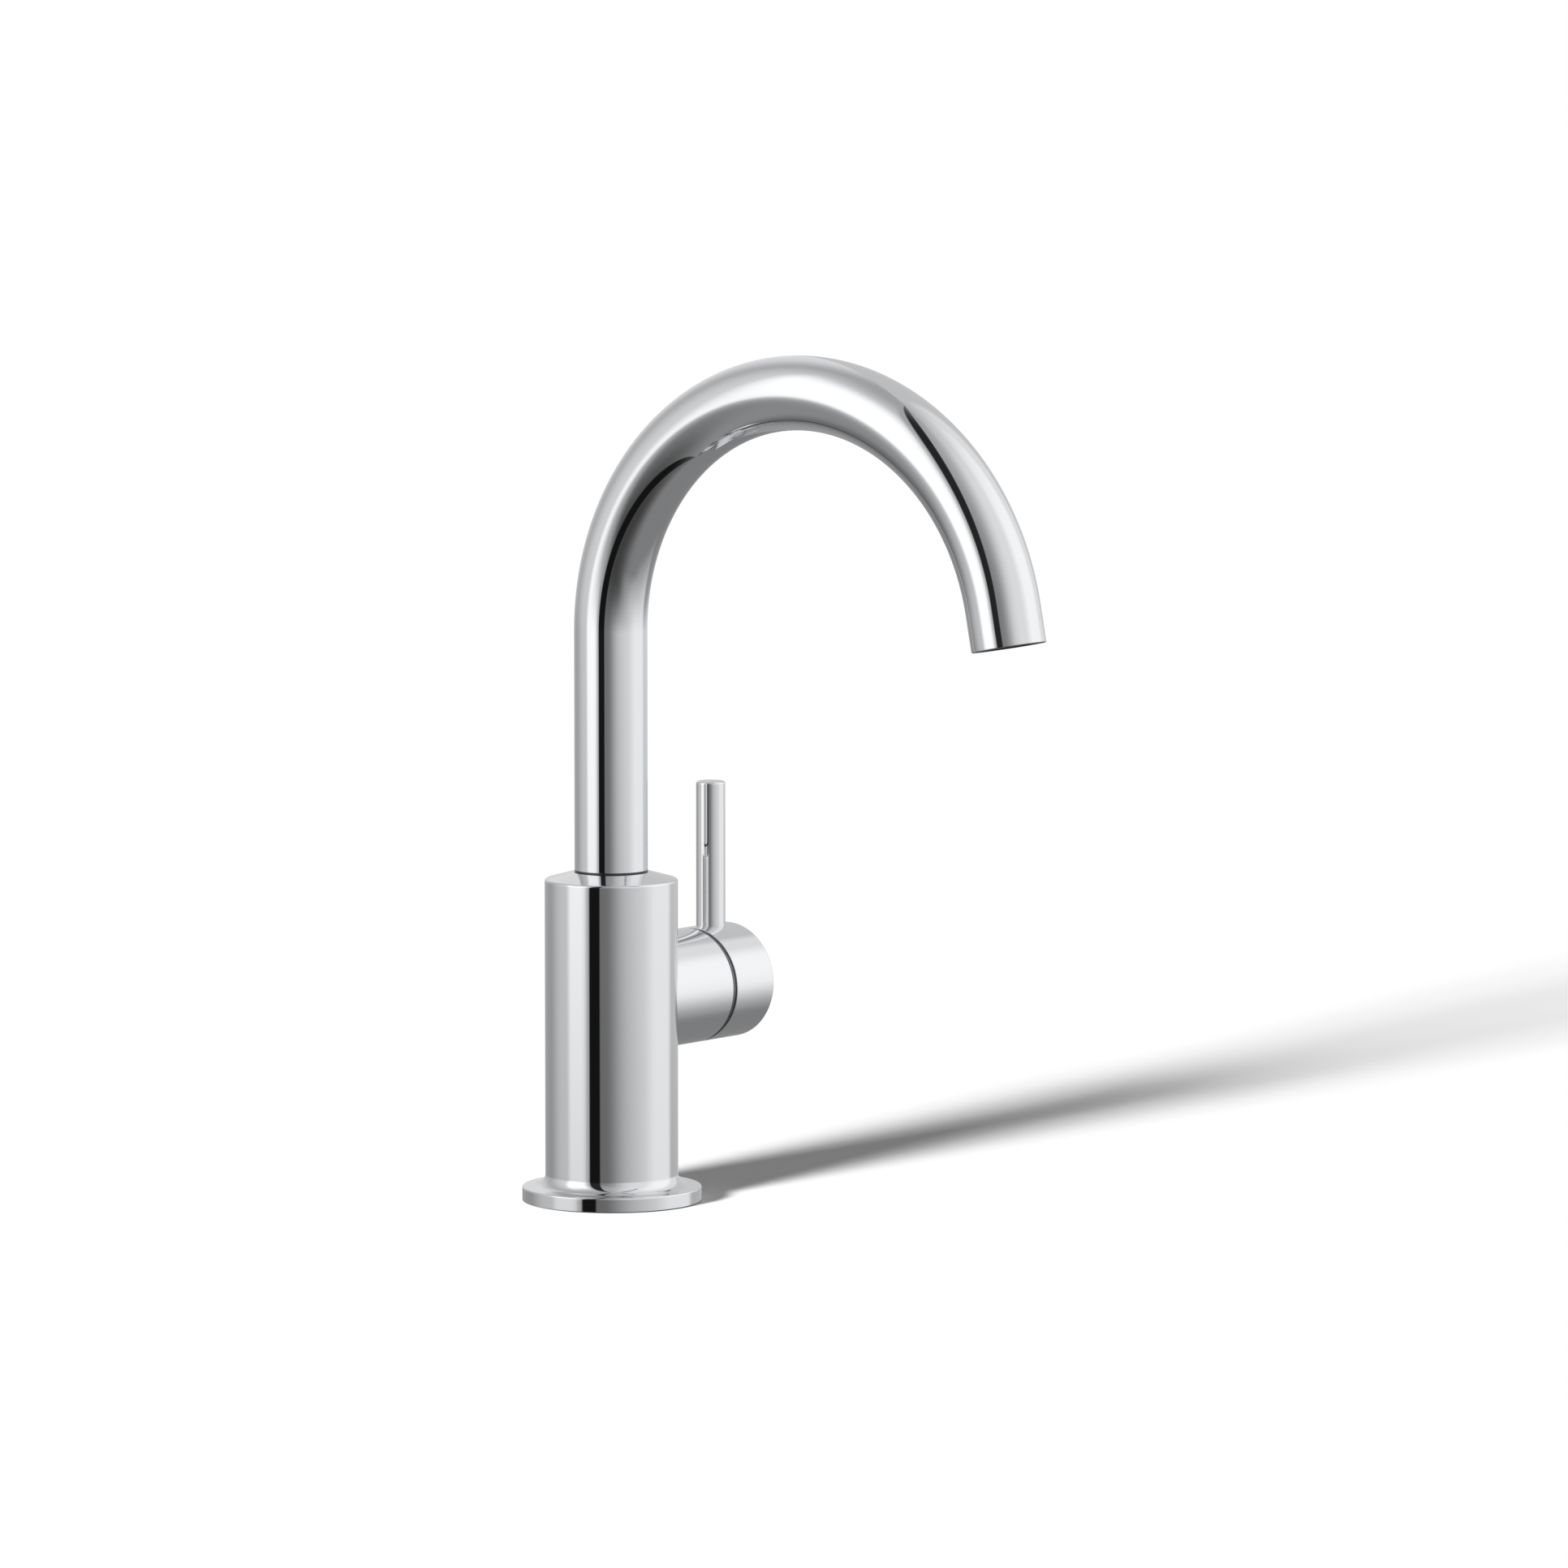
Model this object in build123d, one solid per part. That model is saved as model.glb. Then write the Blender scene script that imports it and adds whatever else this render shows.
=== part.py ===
from build123d import *
import math
import os

# Deck-mounted faucet of a water dispenser: a gooseneck spout that swivels on a round body, and a side
# valve worked by a slim upright lever. Lengths are in millimetres and angles in degrees.
# The origin is on the body's axis, in the plane of the deck. +Z is up, the spout reaches along -Y
# towards the user, and the valve and its handle stand out along +X.

# Clearances between pieces
running_gap = 0.05
thread_gap = 0.05
seat_gap = 0.03
loose_gap = 0.4

# How far a cutting shape runs past the face that it opens
cut_overrun = 1.0

# Spout tube
tube_radius = 11.0
tube_wall = 1.5
tube_lip = 0.4
bend_radius = 74.0
bend_centre_height = 172.3
bend_angle = 169.0
outlet_straight = 11.0

# Body with its foot flange and crowned top
body_radius = 20.0
body_edge_round = 0.8
crown_rise = 2.1
crown_land = 0.5
flange_radius = 27.0
flange_top = 4.5
flange_edge_round = 0.5
flange_foot_round = 0.2
cove_radius = 3.7

# Gasket let into the underside of the flange
gasket_show = 0.6
gasket_step = 1.4
gasket_inset = 0.4
gasket_shoulder = 2.0
gasket_bore_radius = 13.0

# Side boss of the body, and the valve bored into it
valve_height = 61.5
boss_radius = 17.5
boss_reach = 38.2
boss_edge_round = 0.3
valve_bore_radius = 12.45
seat_setback = 6.0
seat_bore_radius = 5.0

# Waterways through the body
riser_bore_radius = 3.2
riser_wall = 1.3
outlet_passage_radius = 3.5
chamber_radius = 14.5
chamber_roof = 7.05

# Shank below the body
shank_radius = 10.45
shank_bore_radius = 6.5
shank_engagement = 19.4
shank_drop = 56.0
shank_chamfer = 1.0
shank_ring_drop = 4.0
shank_ring_section = 1.8
ring_groove_slack = 0.4

# Inlet adapter in the foot of the shank
adapter_thread_radius = 8.0
adapter_thread_length = 10.5
adapter_socket_depth = 12.0
adapter_bore_radius = 4.2
adapter_hex_flats = 20.0
adapter_hex_height = 6.2
nipple_radius = 7.14
nipple_length = 12.0
nipple_chamfer = 0.6
inlet_washer_thickness = 0.8
strainer_radius = 6.0
strainer_thickness = 2.0
strainer_hole_radius = 0.6
strainer_hole_pitch = 2.0

# Clamp stack under the deck
deck_thickness = 20.0
clamp_washer_radius = 22.0
rubber_washer_thickness = 3.0
steel_washer_thickness = 1.6
nut_flats = 30.0
nut_height = 8.0
nut_chamfer = 1.0
nut_face_inset = 2.0

# Spout joint: a bored journal that turns in a socket in the top of the body
socket_radius = 9.0
socket_floor_wall = 5.05
socket_depth = 20.5
journal_bore_radius = 5.5
journal_foot_gap = 1.0
spigot_length = 14.0
spout_ring_section = 1.7
spout_ring_below_keeper = 4.7
spout_ring_pitch = 4.5
keeper_below_edge = 4.2
keeper_groove_width = 2.6
keeper_groove_depth = 1.4
bearing_ring_thickness = 0.7
bearing_ring_overhang = 0.2
keeper_screw_radius = 2.5
keeper_point_radius = 1.0
keeper_screw_recess = 1.5
screw_socket_flats = 2.5
screw_socket_depth = 3.0

# Valve cartridge, from the seat outwards along +X
seat_seal_thickness = 2.5
seat_seal_bore_radius = 4.0
cage_radius = 10.8
cage_bore_radius = 9.0
cage_seat_gap = 0.5
disc_thickness = 3.0
disc_slot_depth = 1.2
disc_lug_width = 3.0
disc_window_inner = 2.6
disc_window_outer = 7.2
disc_window_angle = 76.0
driver_width = 4.0
driver_reach = 5.5
driver_flange_thickness = 2.0
thrust_washer_thickness = 0.6
cage_window_length = 5.0
cage_window_width = 8.0
stem_radius = 5.0
stem_ring_section = 1.5
stem_ring_first = 8.0
stem_ring_pitch = 5.0
bonnet_thread_length = 9.0
bonnet_ring_section = 1.6
bonnet_ring_land = 5.5
bonnet_flange_overhang = 1.15
bonnet_flange_thickness = 1.2
bonnet_hex_flats = 22.0
bonnet_hex_length = 3.4
clip_thickness = 0.8
clip_width = 1.6
clip_groove_depth = 1.2

# Handle: a hub that covers the cartridge, and the lever that stands on it
seam_width = 1.3
seam_inset = 0.75
hub_length = 17.5
hub_edge_round = 0.8
hub_seam_round = 0.3
hub_recess_depth = 5.2
hub_end_wall = 2.5
stem_square = 7.0
lever_radius = 4.45
lever_setback = 8.3
lever_tip_above_axis = 61.5
lever_tip_round = 0.8
lever_seat_depth = 0.5
lever_stud_radius = 2.5
lever_stud_floor_wall = 1.5
hub_screw_radius = 2.5
hub_screw_recess = 1.5

# Aerator in the mouth of the spout
bushing_length = 9.4
bushing_recess = 0.6
bushing_wall = 1.15
aerator_length = 8.6
aerator_recess = 0.9
aerator_wall = 1.2
aerator_rim_height = 1.1
aerator_rim_width = 1.0
key_slot_width = 1.6
key_slot_depth = 0.7
aerator_washer_thickness = 1.4
aerator_washer_width = 2.4
regulator_height = 3.6
regulator_hole_radius = 0.7
regulator_hole_circle = 4.2
regulator_hole_count = 8
screen_thickness = 0.3
screen_spacer_height = 1.1

# Heights along the body's axis that several pieces share: the column stands as high above the valve as
# the wall over the valve's bore and the socket for the spout need
flange_underside = gasket_show
socket_floor_height = valve_height + valve_bore_radius + socket_floor_wall
crown_height = socket_floor_height + socket_depth
body_edge_height = crown_height - crown_rise
tube_foot_height = crown_height + bearing_ring_thickness + seat_gap
tube_bore_radius = tube_radius - tube_wall
bearing_ring_radius = tube_radius + bearing_ring_overhang
shank_top = flange_underside + shank_engagement
shank_bottom = -shank_drop
shank_ring_height = shank_top - shank_ring_drop
chamber_top = valve_height - valve_bore_radius - chamber_roof
journal_radius = socket_radius - running_gap
journal_bottom = socket_floor_height + journal_foot_gap
keeper_height = body_edge_height - keeper_below_edge

# Places along the valve's axis, as distances from the body's axis
seat_x = -seat_setback
riser_x = seat_x - riser_wall - riser_bore_radius
seal_end = seat_x + seat_seal_thickness
cage_start = seat_x + cage_seat_gap
fixed_disc_end = seal_end + disc_thickness
turning_disc_start = fixed_disc_end + seat_gap
turning_disc_end = turning_disc_start + disc_thickness
driver_flange_start = turning_disc_end + driver_reach
driver_flange_end = driver_flange_start + driver_flange_thickness
cage_shoulder = driver_flange_end + thrust_washer_thickness + seat_gap
hub_start = boss_reach + seam_width
hub_end = hub_start + hub_length
hub_core_start = hub_start + hub_recess_depth
bonnet_flange_end = boss_reach + bonnet_flange_thickness
bonnet_end = bonnet_flange_end + bonnet_hex_length
clip_start = bonnet_end + seat_gap
hub_socket_end = hub_end - hub_end_wall
stem_end = hub_socket_end - loose_gap
lever_x = hub_start + lever_setback
bonnet_flange_radius = valve_bore_radius + bonnet_flange_overhang
hub_bore_radius = bonnet_flange_radius + loose_gap
seam_ring_radius = boss_radius - seam_inset

# Frames in which pieces are drawn along their own +Z
valve_frame = Location((0, 0, valve_height), (0, 90, 0))
bend_centre = Vector(0, -bend_radius, bend_centre_height)
bend_end = math.radians(bend_angle)
outlet_direction = Vector(0, -math.sin(bend_end), math.cos(bend_end))
outlet_start = bend_centre + bend_radius * Vector(0, math.cos(bend_end), math.sin(bend_end))
outlet_centre = outlet_start + outlet_straight * outlet_direction
outlet_frame = Plane(origin=outlet_centre, x_dir=(1, 0, 0), z_dir=outlet_direction)


def turned(*corners):
    """Solid turned about Z from (radius, height) corners; a third number rounds that corner."""
    points = [(corner[0], 0, corner[1]) for corner in corners]
    face = make_face(Polyline(*points, close=True))
    for corner in corners:
        if len(corner) == 3:
            place = Vector(corner[0], 0, corner[1])
            near = face.vertices().sort_by(lambda vertex: (Vector(*vertex) - place).length)[0]
            face = fillet(near, corner[2])
    return revolve(face, Axis.Z)


def bar(radius, bottom, top):
    """Round bar about Z."""
    return Pos(0, 0, bottom) * Cylinder(radius, top - bottom, align=(Align.CENTER, Align.CENTER, Align.MIN))


def ring(outer, inner, bottom, top):
    """Flat ring about Z."""
    return bar(outer, bottom, top) - bar(inner, bottom, top)


def hexagon(flats, bottom, top):
    """Hexagonal bar about Z, measured across its flats."""
    outline = RegularPolygon(flats / 2, 6, major_radius=False)
    return Pos(0, 0, bottom) * extrude(outline, top - bottom)


def block(length, width, bottom, top):
    """Rectangular bar about Z."""
    return Pos(0, 0, bottom) * extrude(Rectangle(length, width), top - bottom)


def o_ring(outer, section, height):
    """O-ring about Z at its fitted size."""
    return Pos(0, 0, height) * Torus(outer - section / 2, section / 2)


def ring_groove(outer, section, height):
    """Square groove for an O-ring, cut in from a shaft's radius."""
    half_width = section / 2 + ring_groove_slack
    return ring(outer + cut_overrun, outer - section, height - half_width, height + half_width)


def disc_windows(turn, bottom, top):
    """Two opposite ports of a ceramic disc, turned about Z from local X."""
    sector = Sketch()
    reach = 2 * disc_window_outer
    half_width = reach * math.tan(math.radians(disc_window_angle / 2))
    wedge = make_face(Polyline((0, 0), (reach, -half_width), (reach, half_width), close=True))
    port = (Circle(disc_window_outer) - Circle(disc_window_inner)) & wedge
    for side in (0, 180):
        sector += Rot(0, 0, turn + side) * port
    return Pos(0, 0, bottom) * extrude(sector, top - bottom)


def screw_socket(depth_start, depth_end):
    """Hexagonal key socket of a set screw about Z."""
    return hexagon(screw_socket_flats, depth_start, depth_end)


def faucet_body():
    """Brass body: foot flange, cove, round column and crown in one turning, with the side boss."""
    crown_radius = bearing_ring_radius + crown_land
    column = turned(
        (0, flange_underside),
        (flange_radius, flange_underside, flange_foot_round),
        (flange_radius, flange_top, flange_edge_round),
        (body_radius, flange_top, cove_radius),
        (body_radius, body_edge_height, body_edge_round),
        (crown_radius, crown_height),
        (0, crown_height),
    )
    boss = turned(
        (0, 0),
        (boss_radius, 0),
        (boss_radius, boss_reach, boss_edge_round),
        (0, boss_reach),
    )
    body = column + valve_frame * boss
    body -= valve_frame * bar(valve_bore_radius, seat_x, boss_reach)
    body -= valve_frame * bar(seat_bore_radius, riser_x - riser_bore_radius, seat_x)
    body -= Pos(riser_x, 0, 0) * bar(riser_bore_radius, shank_top, valve_height)
    body -= bar(shank_radius + thread_gap, flange_underside, shank_top)
    body -= bar(chamber_radius, shank_top, chamber_top)
    body -= bar(outlet_passage_radius, valve_height, socket_floor_height)
    body -= bar(socket_radius, socket_floor_height, crown_height)
    body -= bar(flange_radius - gasket_shoulder, flange_underside, flange_underside + gasket_step)
    keeper_hole = bar(keeper_screw_radius + thread_gap, 0, body_radius + cut_overrun)
    body -= Pos(0, 0, keeper_height) * Rot(-90, 0, 0) * keeper_hole
    return body


def deck_gasket():
    """Rubber gasket with a step that fills the recess in the flange."""
    bore = gasket_bore_radius
    foot = ring(flange_radius - gasket_inset, bore, 0, gasket_show)
    step_top = gasket_show + gasket_step
    return foot + ring(flange_radius - gasket_shoulder - running_gap, bore, gasket_show, step_top)


def shank():
    """Threaded brass tube that carries the water up and clamps the body to the deck."""
    tube = turned(
        (shank_bore_radius, shank_top),
        (shank_radius - shank_chamfer, shank_top),
        (shank_radius, shank_top - shank_chamfer),
        (shank_radius, shank_bottom + shank_chamfer),
        (shank_radius - shank_chamfer, shank_bottom),
        (shank_bore_radius, shank_bottom),
    )
    tube -= bar(adapter_thread_radius + thread_gap, shank_bottom, shank_bottom + adapter_socket_depth)
    return tube - ring_groove(shank_radius, shank_ring_section, shank_ring_height)


def inlet_adapter():
    """Brass adapter: a spigot in the shank, a spanner hexagon and the nipple for the supply."""
    hex_top = shank_bottom - inlet_washer_thickness
    hex_bottom = hex_top - adapter_hex_height
    spigot_top = shank_bottom + adapter_thread_length
    nipple_bottom = hex_bottom - nipple_length
    adapter = bar(adapter_thread_radius, hex_top, spigot_top)
    adapter += hexagon(adapter_hex_flats, hex_bottom, hex_top)
    adapter += turned(
        (0, hex_bottom),
        (nipple_radius, hex_bottom),
        (nipple_radius, nipple_bottom + nipple_chamfer),
        (nipple_radius - nipple_chamfer, nipple_bottom),
        (0, nipple_bottom),
    )
    adapter -= bar(adapter_bore_radius, nipple_bottom, spigot_top)
    return adapter - bar(strainer_radius + running_gap, spigot_top - strainer_thickness, spigot_top)


def inlet_washer():
    """Fibre washer between the shank's end and the adapter's hexagon."""
    outer = adapter_hex_flats / 2
    inner = adapter_thread_radius + running_gap
    return ring(outer, inner, shank_bottom - inlet_washer_thickness, shank_bottom)


def inlet_strainer():
    """Perforated disc that keeps grit out of the valve."""
    top = shank_bottom + adapter_thread_length
    bottom = top - strainer_thickness
    steps = int((adapter_bore_radius - strainer_hole_radius) / strainer_hole_pitch)
    holes = Sketch()
    for column in range(-steps, steps + 1):
        for row in range(-steps, steps + 1):
            if math.hypot(column, row) <= steps:
                centre = Vector(column, row) * strainer_hole_pitch
                holes += Pos(centre.X, centre.Y) * Circle(strainer_hole_radius)
    return bar(strainer_radius, bottom, top) - Pos(0, 0, bottom) * extrude(holes, strainer_thickness)


def rubber_washer():
    """Rubber washer pressed against the underside of the deck."""
    top = -deck_thickness
    return ring(clamp_washer_radius, shank_radius + loose_gap, top - rubber_washer_thickness, top)


def steel_washer():
    """Steel washer that spreads the nut's load."""
    top = -deck_thickness - rubber_washer_thickness
    return ring(clamp_washer_radius, shank_radius + loose_gap, top - steel_washer_thickness, top)


def mounting_nut():
    """Hexagonal brass nut on the shank, with its corners turned off."""
    top = -deck_thickness - rubber_washer_thickness - steel_washer_thickness - seat_gap
    bottom = top - nut_height
    corner_radius = nut_flats / 2 / math.cos(math.radians(30))
    inner_radius = corner_radius - nut_face_inset
    turning = turned(
        (0, bottom),
        (inner_radius, bottom),
        (corner_radius, bottom + nut_chamfer),
        (corner_radius, top - nut_chamfer),
        (inner_radius, top),
        (0, top),
    )
    return (hexagon(nut_flats, bottom, top) & turning) - bar(shank_radius + thread_gap, bottom, top)


def valve_bonnet():
    """Brass cartridge shell: a cage round the discs, a threaded neck, a flange and a hexagon."""
    land_end = boss_reach - bonnet_thread_length
    land_start = land_end - bonnet_ring_land
    thread_radius = valve_bore_radius - thread_gap
    shell = turned(
        (0, cage_start),
        (cage_radius, cage_start),
        (cage_radius, land_start),
        (thread_radius, land_start),
        (thread_radius, boss_reach),
        (bonnet_flange_radius, boss_reach),
        (bonnet_flange_radius, bonnet_flange_end),
        (0, bonnet_flange_end),
    )
    hex_turning = bar(bonnet_flange_radius, bonnet_flange_end, bonnet_end)
    shell += hexagon(bonnet_hex_flats, bonnet_flange_end, bonnet_end) & hex_turning
    shell -= bar(cage_bore_radius, cage_start, cage_shoulder)
    shell -= bar(stem_radius + running_gap, cage_shoulder, bonnet_end)
    shell -= ring_groove(thread_radius, bonnet_ring_section, land_start + bonnet_ring_land / 2)
    across = 2 * (cage_radius + cut_overrun)
    shell -= block(disc_lug_width + 2 * running_gap, across, cage_start, fixed_disc_end)
    window_end = turning_disc_end + cage_window_length
    for turn in (0, 90):
        shell -= Rot(0, 0, turn) * block(cage_window_width, across, turning_disc_end, window_end)
    return valve_frame * shell


def seat_seal():
    """Rubber seal between the body's seat and the fixed disc."""
    return valve_frame * ring(cage_bore_radius - running_gap, seat_seal_bore_radius, seat_x, seal_end)


def fixed_disc():
    """Ceramic disc held still by two lugs in the cage, with its ports left and right."""
    disc = bar(cage_bore_radius - running_gap, seal_end, fixed_disc_end)
    disc += block(disc_lug_width, 2 * cage_radius, seal_end, fixed_disc_end)
    return valve_frame * (disc - disc_windows(0, seal_end, fixed_disc_end))


def turning_disc():
    """Ceramic disc that the stem turns, with its ports closed against the fixed disc at rest."""
    disc = bar(cage_bore_radius - running_gap, turning_disc_start, turning_disc_end)
    disc -= disc_windows(90, turning_disc_start, turning_disc_end)
    slot_floor = turning_disc_end - disc_slot_depth
    slot = block(2 * cage_bore_radius, driver_width + 2 * running_gap, slot_floor, turning_disc_end)
    return valve_frame * (disc - slot)


def valve_stem():
    """Brass stem: a driver bar in the disc's slot, a thrust flange, a shaft and a square end."""
    head_radius = cage_bore_radius - running_gap
    driver_start = turning_disc_end - disc_slot_depth + seat_gap
    head = bar(head_radius, driver_start, driver_flange_start)
    driver = head & block(2 * head_radius, driver_width, driver_start, driver_flange_start)
    stem = driver + bar(head_radius, driver_flange_start, driver_flange_end)
    stem += bar(stem_radius, driver_flange_end, hub_core_start)
    square_corner = bar(stem_radius, hub_core_start, stem_end)
    stem += square_corner & block(stem_square, stem_square, hub_core_start, stem_end)
    for height in stem_ring_heights():
        stem -= ring_groove(stem_radius, stem_ring_section, height)
    groove_end = clip_start + clip_thickness + 2 * seat_gap
    stem -= ring(stem_radius + cut_overrun, stem_radius - clip_groove_depth, clip_start, groove_end)
    return valve_frame * stem


def stem_ring_heights():
    """Places of the two O-rings on the stem."""
    first = cage_shoulder + stem_ring_first
    return [first, first + stem_ring_pitch]


def stem_o_rings():
    """Two O-rings that seal the stem in the bonnet."""
    rings = [valve_frame * o_ring(stem_radius, stem_ring_section, height) for height in stem_ring_heights()]
    return Compound(children=rings)


def thrust_washer():
    """Slippery washer between the stem's flange and the cage's shoulder."""
    outer = cage_bore_radius - running_gap
    end = driver_flange_end + thrust_washer_thickness
    return valve_frame * ring(outer, stem_radius + running_gap, driver_flange_end, end)


def stem_clip():
    """Open spring ring in the stem's groove, which keeps the stem in the bonnet."""
    inner = stem_radius - clip_groove_depth + running_gap
    start = clip_start + seat_gap
    end = start + clip_thickness
    outer = inner + clip_width + clip_groove_depth
    mouth = Pos(outer, 0, 0) * block(2 * outer, inner, start, end)
    return valve_frame * (ring(outer, inner, start, end) - mouth)


def bonnet_o_ring():
    """O-ring on the bonnet that keeps water from its thread."""
    height = boss_reach - bonnet_thread_length - bonnet_ring_land / 2
    return valve_frame * o_ring(valve_bore_radius - thread_gap, bonnet_ring_section, height)


def hub_glide_ring():
    """Dark plastic ring in the seam between the boss and the hub."""
    return valve_frame * ring(seam_ring_radius, hub_bore_radius, boss_reach, hub_start - running_gap)


def handle_hub():
    """Chromed hub with a square socket for the stem, a seat for the lever and a screw hole below."""
    hub = turned(
        (0, hub_start),
        (boss_radius, hub_start, hub_seam_round),
        (boss_radius, hub_end, hub_edge_round),
        (0, hub_end),
    )
    hub -= bar(hub_bore_radius, hub_start, hub_core_start)
    socket_side = stem_square + 2 * running_gap
    hub -= block(socket_side, socket_side, hub_core_start, hub_socket_end)
    hub = valve_frame * hub
    seat_height = lever_seat_height()
    hub_top = valve_height + boss_radius
    hub -= Pos(lever_x, 0, 0) * bar(lever_radius + running_gap, seat_height, hub_top + cut_overrun)
    hub -= Pos(lever_x, 0, 0) * bar(lever_stud_radius + thread_gap, stud_hole_floor(), seat_height)
    hub_foot = valve_height - boss_radius
    screw_hole = bar(hub_screw_radius + thread_gap, hub_foot - cut_overrun, valve_height)
    return hub - Pos(lever_x, 0, 0) * screw_hole


def lever_seat_height():
    """Height of the lever's flat seat, sunk below the round of the hub beside the lever."""
    return valve_height + math.sqrt(boss_radius**2 - lever_radius**2) - lever_seat_depth


def stud_hole_floor():
    """Height of the floor of the stud's hole, a wall above the socket for the stem."""
    return valve_height + stem_square / 2 + running_gap + lever_stud_floor_wall


def lever():
    """Slim round lever with a threaded stud that screws into the hub."""
    bottom = lever_seat_height()
    top = valve_height + lever_tip_above_axis
    rod = turned((0, bottom), (lever_radius, bottom), (lever_radius, top, lever_tip_round), (0, top))
    return Pos(lever_x, 0, 0) * (rod + bar(lever_stud_radius, stud_hole_floor() + loose_gap, bottom))


def hub_set_screw():
    """Set screw under the hub that grips a flat of the stem."""
    top = valve_height - stem_square / 2
    bottom = valve_height - math.sqrt(boss_radius**2 - hub_screw_radius**2) + hub_screw_recess
    screw = bar(hub_screw_radius, bottom, top) - screw_socket(bottom, bottom + screw_socket_depth)
    return Pos(lever_x, 0, 0) * screw


def spout_tube():
    """Gooseneck tube: an upright, a bend and a short straight outlet."""
    foot = turned(
        (tube_bore_radius, tube_foot_height),
        (tube_radius, tube_foot_height, tube_lip),
        (tube_radius, bend_centre_height),
        (tube_bore_radius, bend_centre_height),
    )
    section = Pos(0, 0, bend_centre_height) * (Circle(tube_radius) - Circle(tube_bore_radius))
    bend = revolve(section, Axis(bend_centre, (1, 0, 0)), bend_angle)
    mouth = outlet_frame * turned(
        (tube_bore_radius, -outlet_straight),
        (tube_radius, -outlet_straight),
        (tube_radius, 0, tube_lip),
        (tube_bore_radius, 0, tube_lip),
    )
    return foot + bend + mouth


def spout_adapter():
    """Brass ferrule brazed into the tube's foot; its journal turns in the body's socket."""
    journal = bar(journal_radius, journal_bottom, tube_foot_height)
    spigot = bar(tube_bore_radius - running_gap, tube_foot_height, tube_foot_height + spigot_length)
    adapter = journal + spigot - bar(journal_bore_radius, journal_bottom, tube_foot_height + spigot_length)
    for height in spout_ring_heights():
        adapter -= ring_groove(journal_radius, spout_ring_section, height)
    groove_radius = journal_radius - keeper_groove_depth
    groove_bottom = keeper_height - keeper_groove_width / 2
    groove_top = keeper_height + keeper_groove_width / 2
    return adapter - ring(journal_radius + cut_overrun, groove_radius, groove_bottom, groove_top)


def spout_ring_heights():
    """Heights of the two O-rings on the journal, below the keeper's groove."""
    upper = keeper_height - spout_ring_below_keeper
    return [upper - spout_ring_pitch, upper]


def spout_o_rings():
    """Two O-rings that seal the journal in its socket."""
    rings = [o_ring(journal_radius, spout_ring_section, height) for height in spout_ring_heights()]
    return Compound(children=rings)


def spout_bearing_ring():
    """Dark plastic ring on which the tube's foot turns."""
    top = crown_height + bearing_ring_thickness
    return ring(bearing_ring_radius, journal_radius + running_gap, crown_height, top)


def keeper_screw():
    """Set screw behind the body; its point runs in the journal's groove and keeps the spout down."""
    groove_radius = journal_radius - keeper_groove_depth
    start = socket_radius + loose_gap
    end = body_radius - keeper_screw_recess
    point = bar(keeper_point_radius, groove_radius + loose_gap, start)
    screw = point + bar(keeper_screw_radius, start, end) - screw_socket(end - screw_socket_depth, end)
    return Pos(0, 0, keeper_height) * Rot(-90, 0, 0) * screw


def outlet_bushing():
    """Threaded brass bushing brazed inside the tube's mouth."""
    outer = tube_bore_radius - running_gap
    top = -bushing_recess
    return outlet_frame * ring(outer, outer - bushing_wall, top - bushing_length, top)


def aerator_radius():
    """Outside radius of the aerator, a thread's gap inside the bushing."""
    return tube_bore_radius - running_gap - bushing_wall - thread_gap


def aerator_housing():
    """Plastic aerator cup with an inner rim below and four slots for its key."""
    outer = aerator_radius()
    bore = outer - aerator_wall
    bottom = -aerator_recess
    cup = bar(outer, bottom - aerator_length, bottom)
    cup -= bar(bore, bottom - aerator_length, bottom - aerator_rim_height)
    cup -= bar(bore - aerator_rim_width, bottom - aerator_rim_height, bottom)
    for turn in (0, 90):
        cup -= Rot(0, 0, turn) * block(2 * outer, key_slot_width, bottom - key_slot_depth, bottom)
    return outlet_frame * cup


def aerator_stack():
    """Depths, below the mouth, of the screens, the spacer between them and the regulator."""
    lower_screen = -aerator_recess - aerator_rim_height
    spacer = lower_screen - screen_thickness
    upper_screen = spacer - screen_spacer_height
    regulator = upper_screen - screen_thickness
    return lower_screen, spacer, upper_screen, regulator


def aerator_screens():
    """Two fine steel screens, drawn as thin discs."""
    radius = aerator_radius() - aerator_wall - running_gap
    lower, _, upper, _ = aerator_stack()
    discs = [outlet_frame * bar(radius, top - screen_thickness, top) for top in (lower, upper)]
    return Compound(children=discs)


def screen_spacer():
    """Plastic ring that holds the screens apart."""
    radius = aerator_radius() - aerator_wall - running_gap
    _, top, _, _ = aerator_stack()
    return outlet_frame * ring(radius, radius - aerator_rim_width, top - screen_spacer_height, top)


def flow_regulator():
    """Plastic insert with a circle of small holes that limits the flow."""
    radius = aerator_radius() - aerator_wall - running_gap
    top = aerator_stack()[3]
    bottom = top - regulator_height
    insert = bar(radius, bottom, top)
    for hole in PolarLocations(regulator_hole_circle, regulator_hole_count):
        insert -= hole * bar(regulator_hole_radius, bottom, top)
    return outlet_frame * insert


def aerator_washer():
    """Rubber washer on top of the aerator cup."""
    outer = aerator_radius()
    bottom = -aerator_recess - aerator_length
    inner = outer - aerator_washer_width
    return outlet_frame * ring(outer, inner, bottom - aerator_washer_thickness, bottom)


def shank_o_ring():
    """O-ring that seals the shank in the body."""
    return o_ring(shank_radius, shank_ring_section, shank_ring_height)


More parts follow.
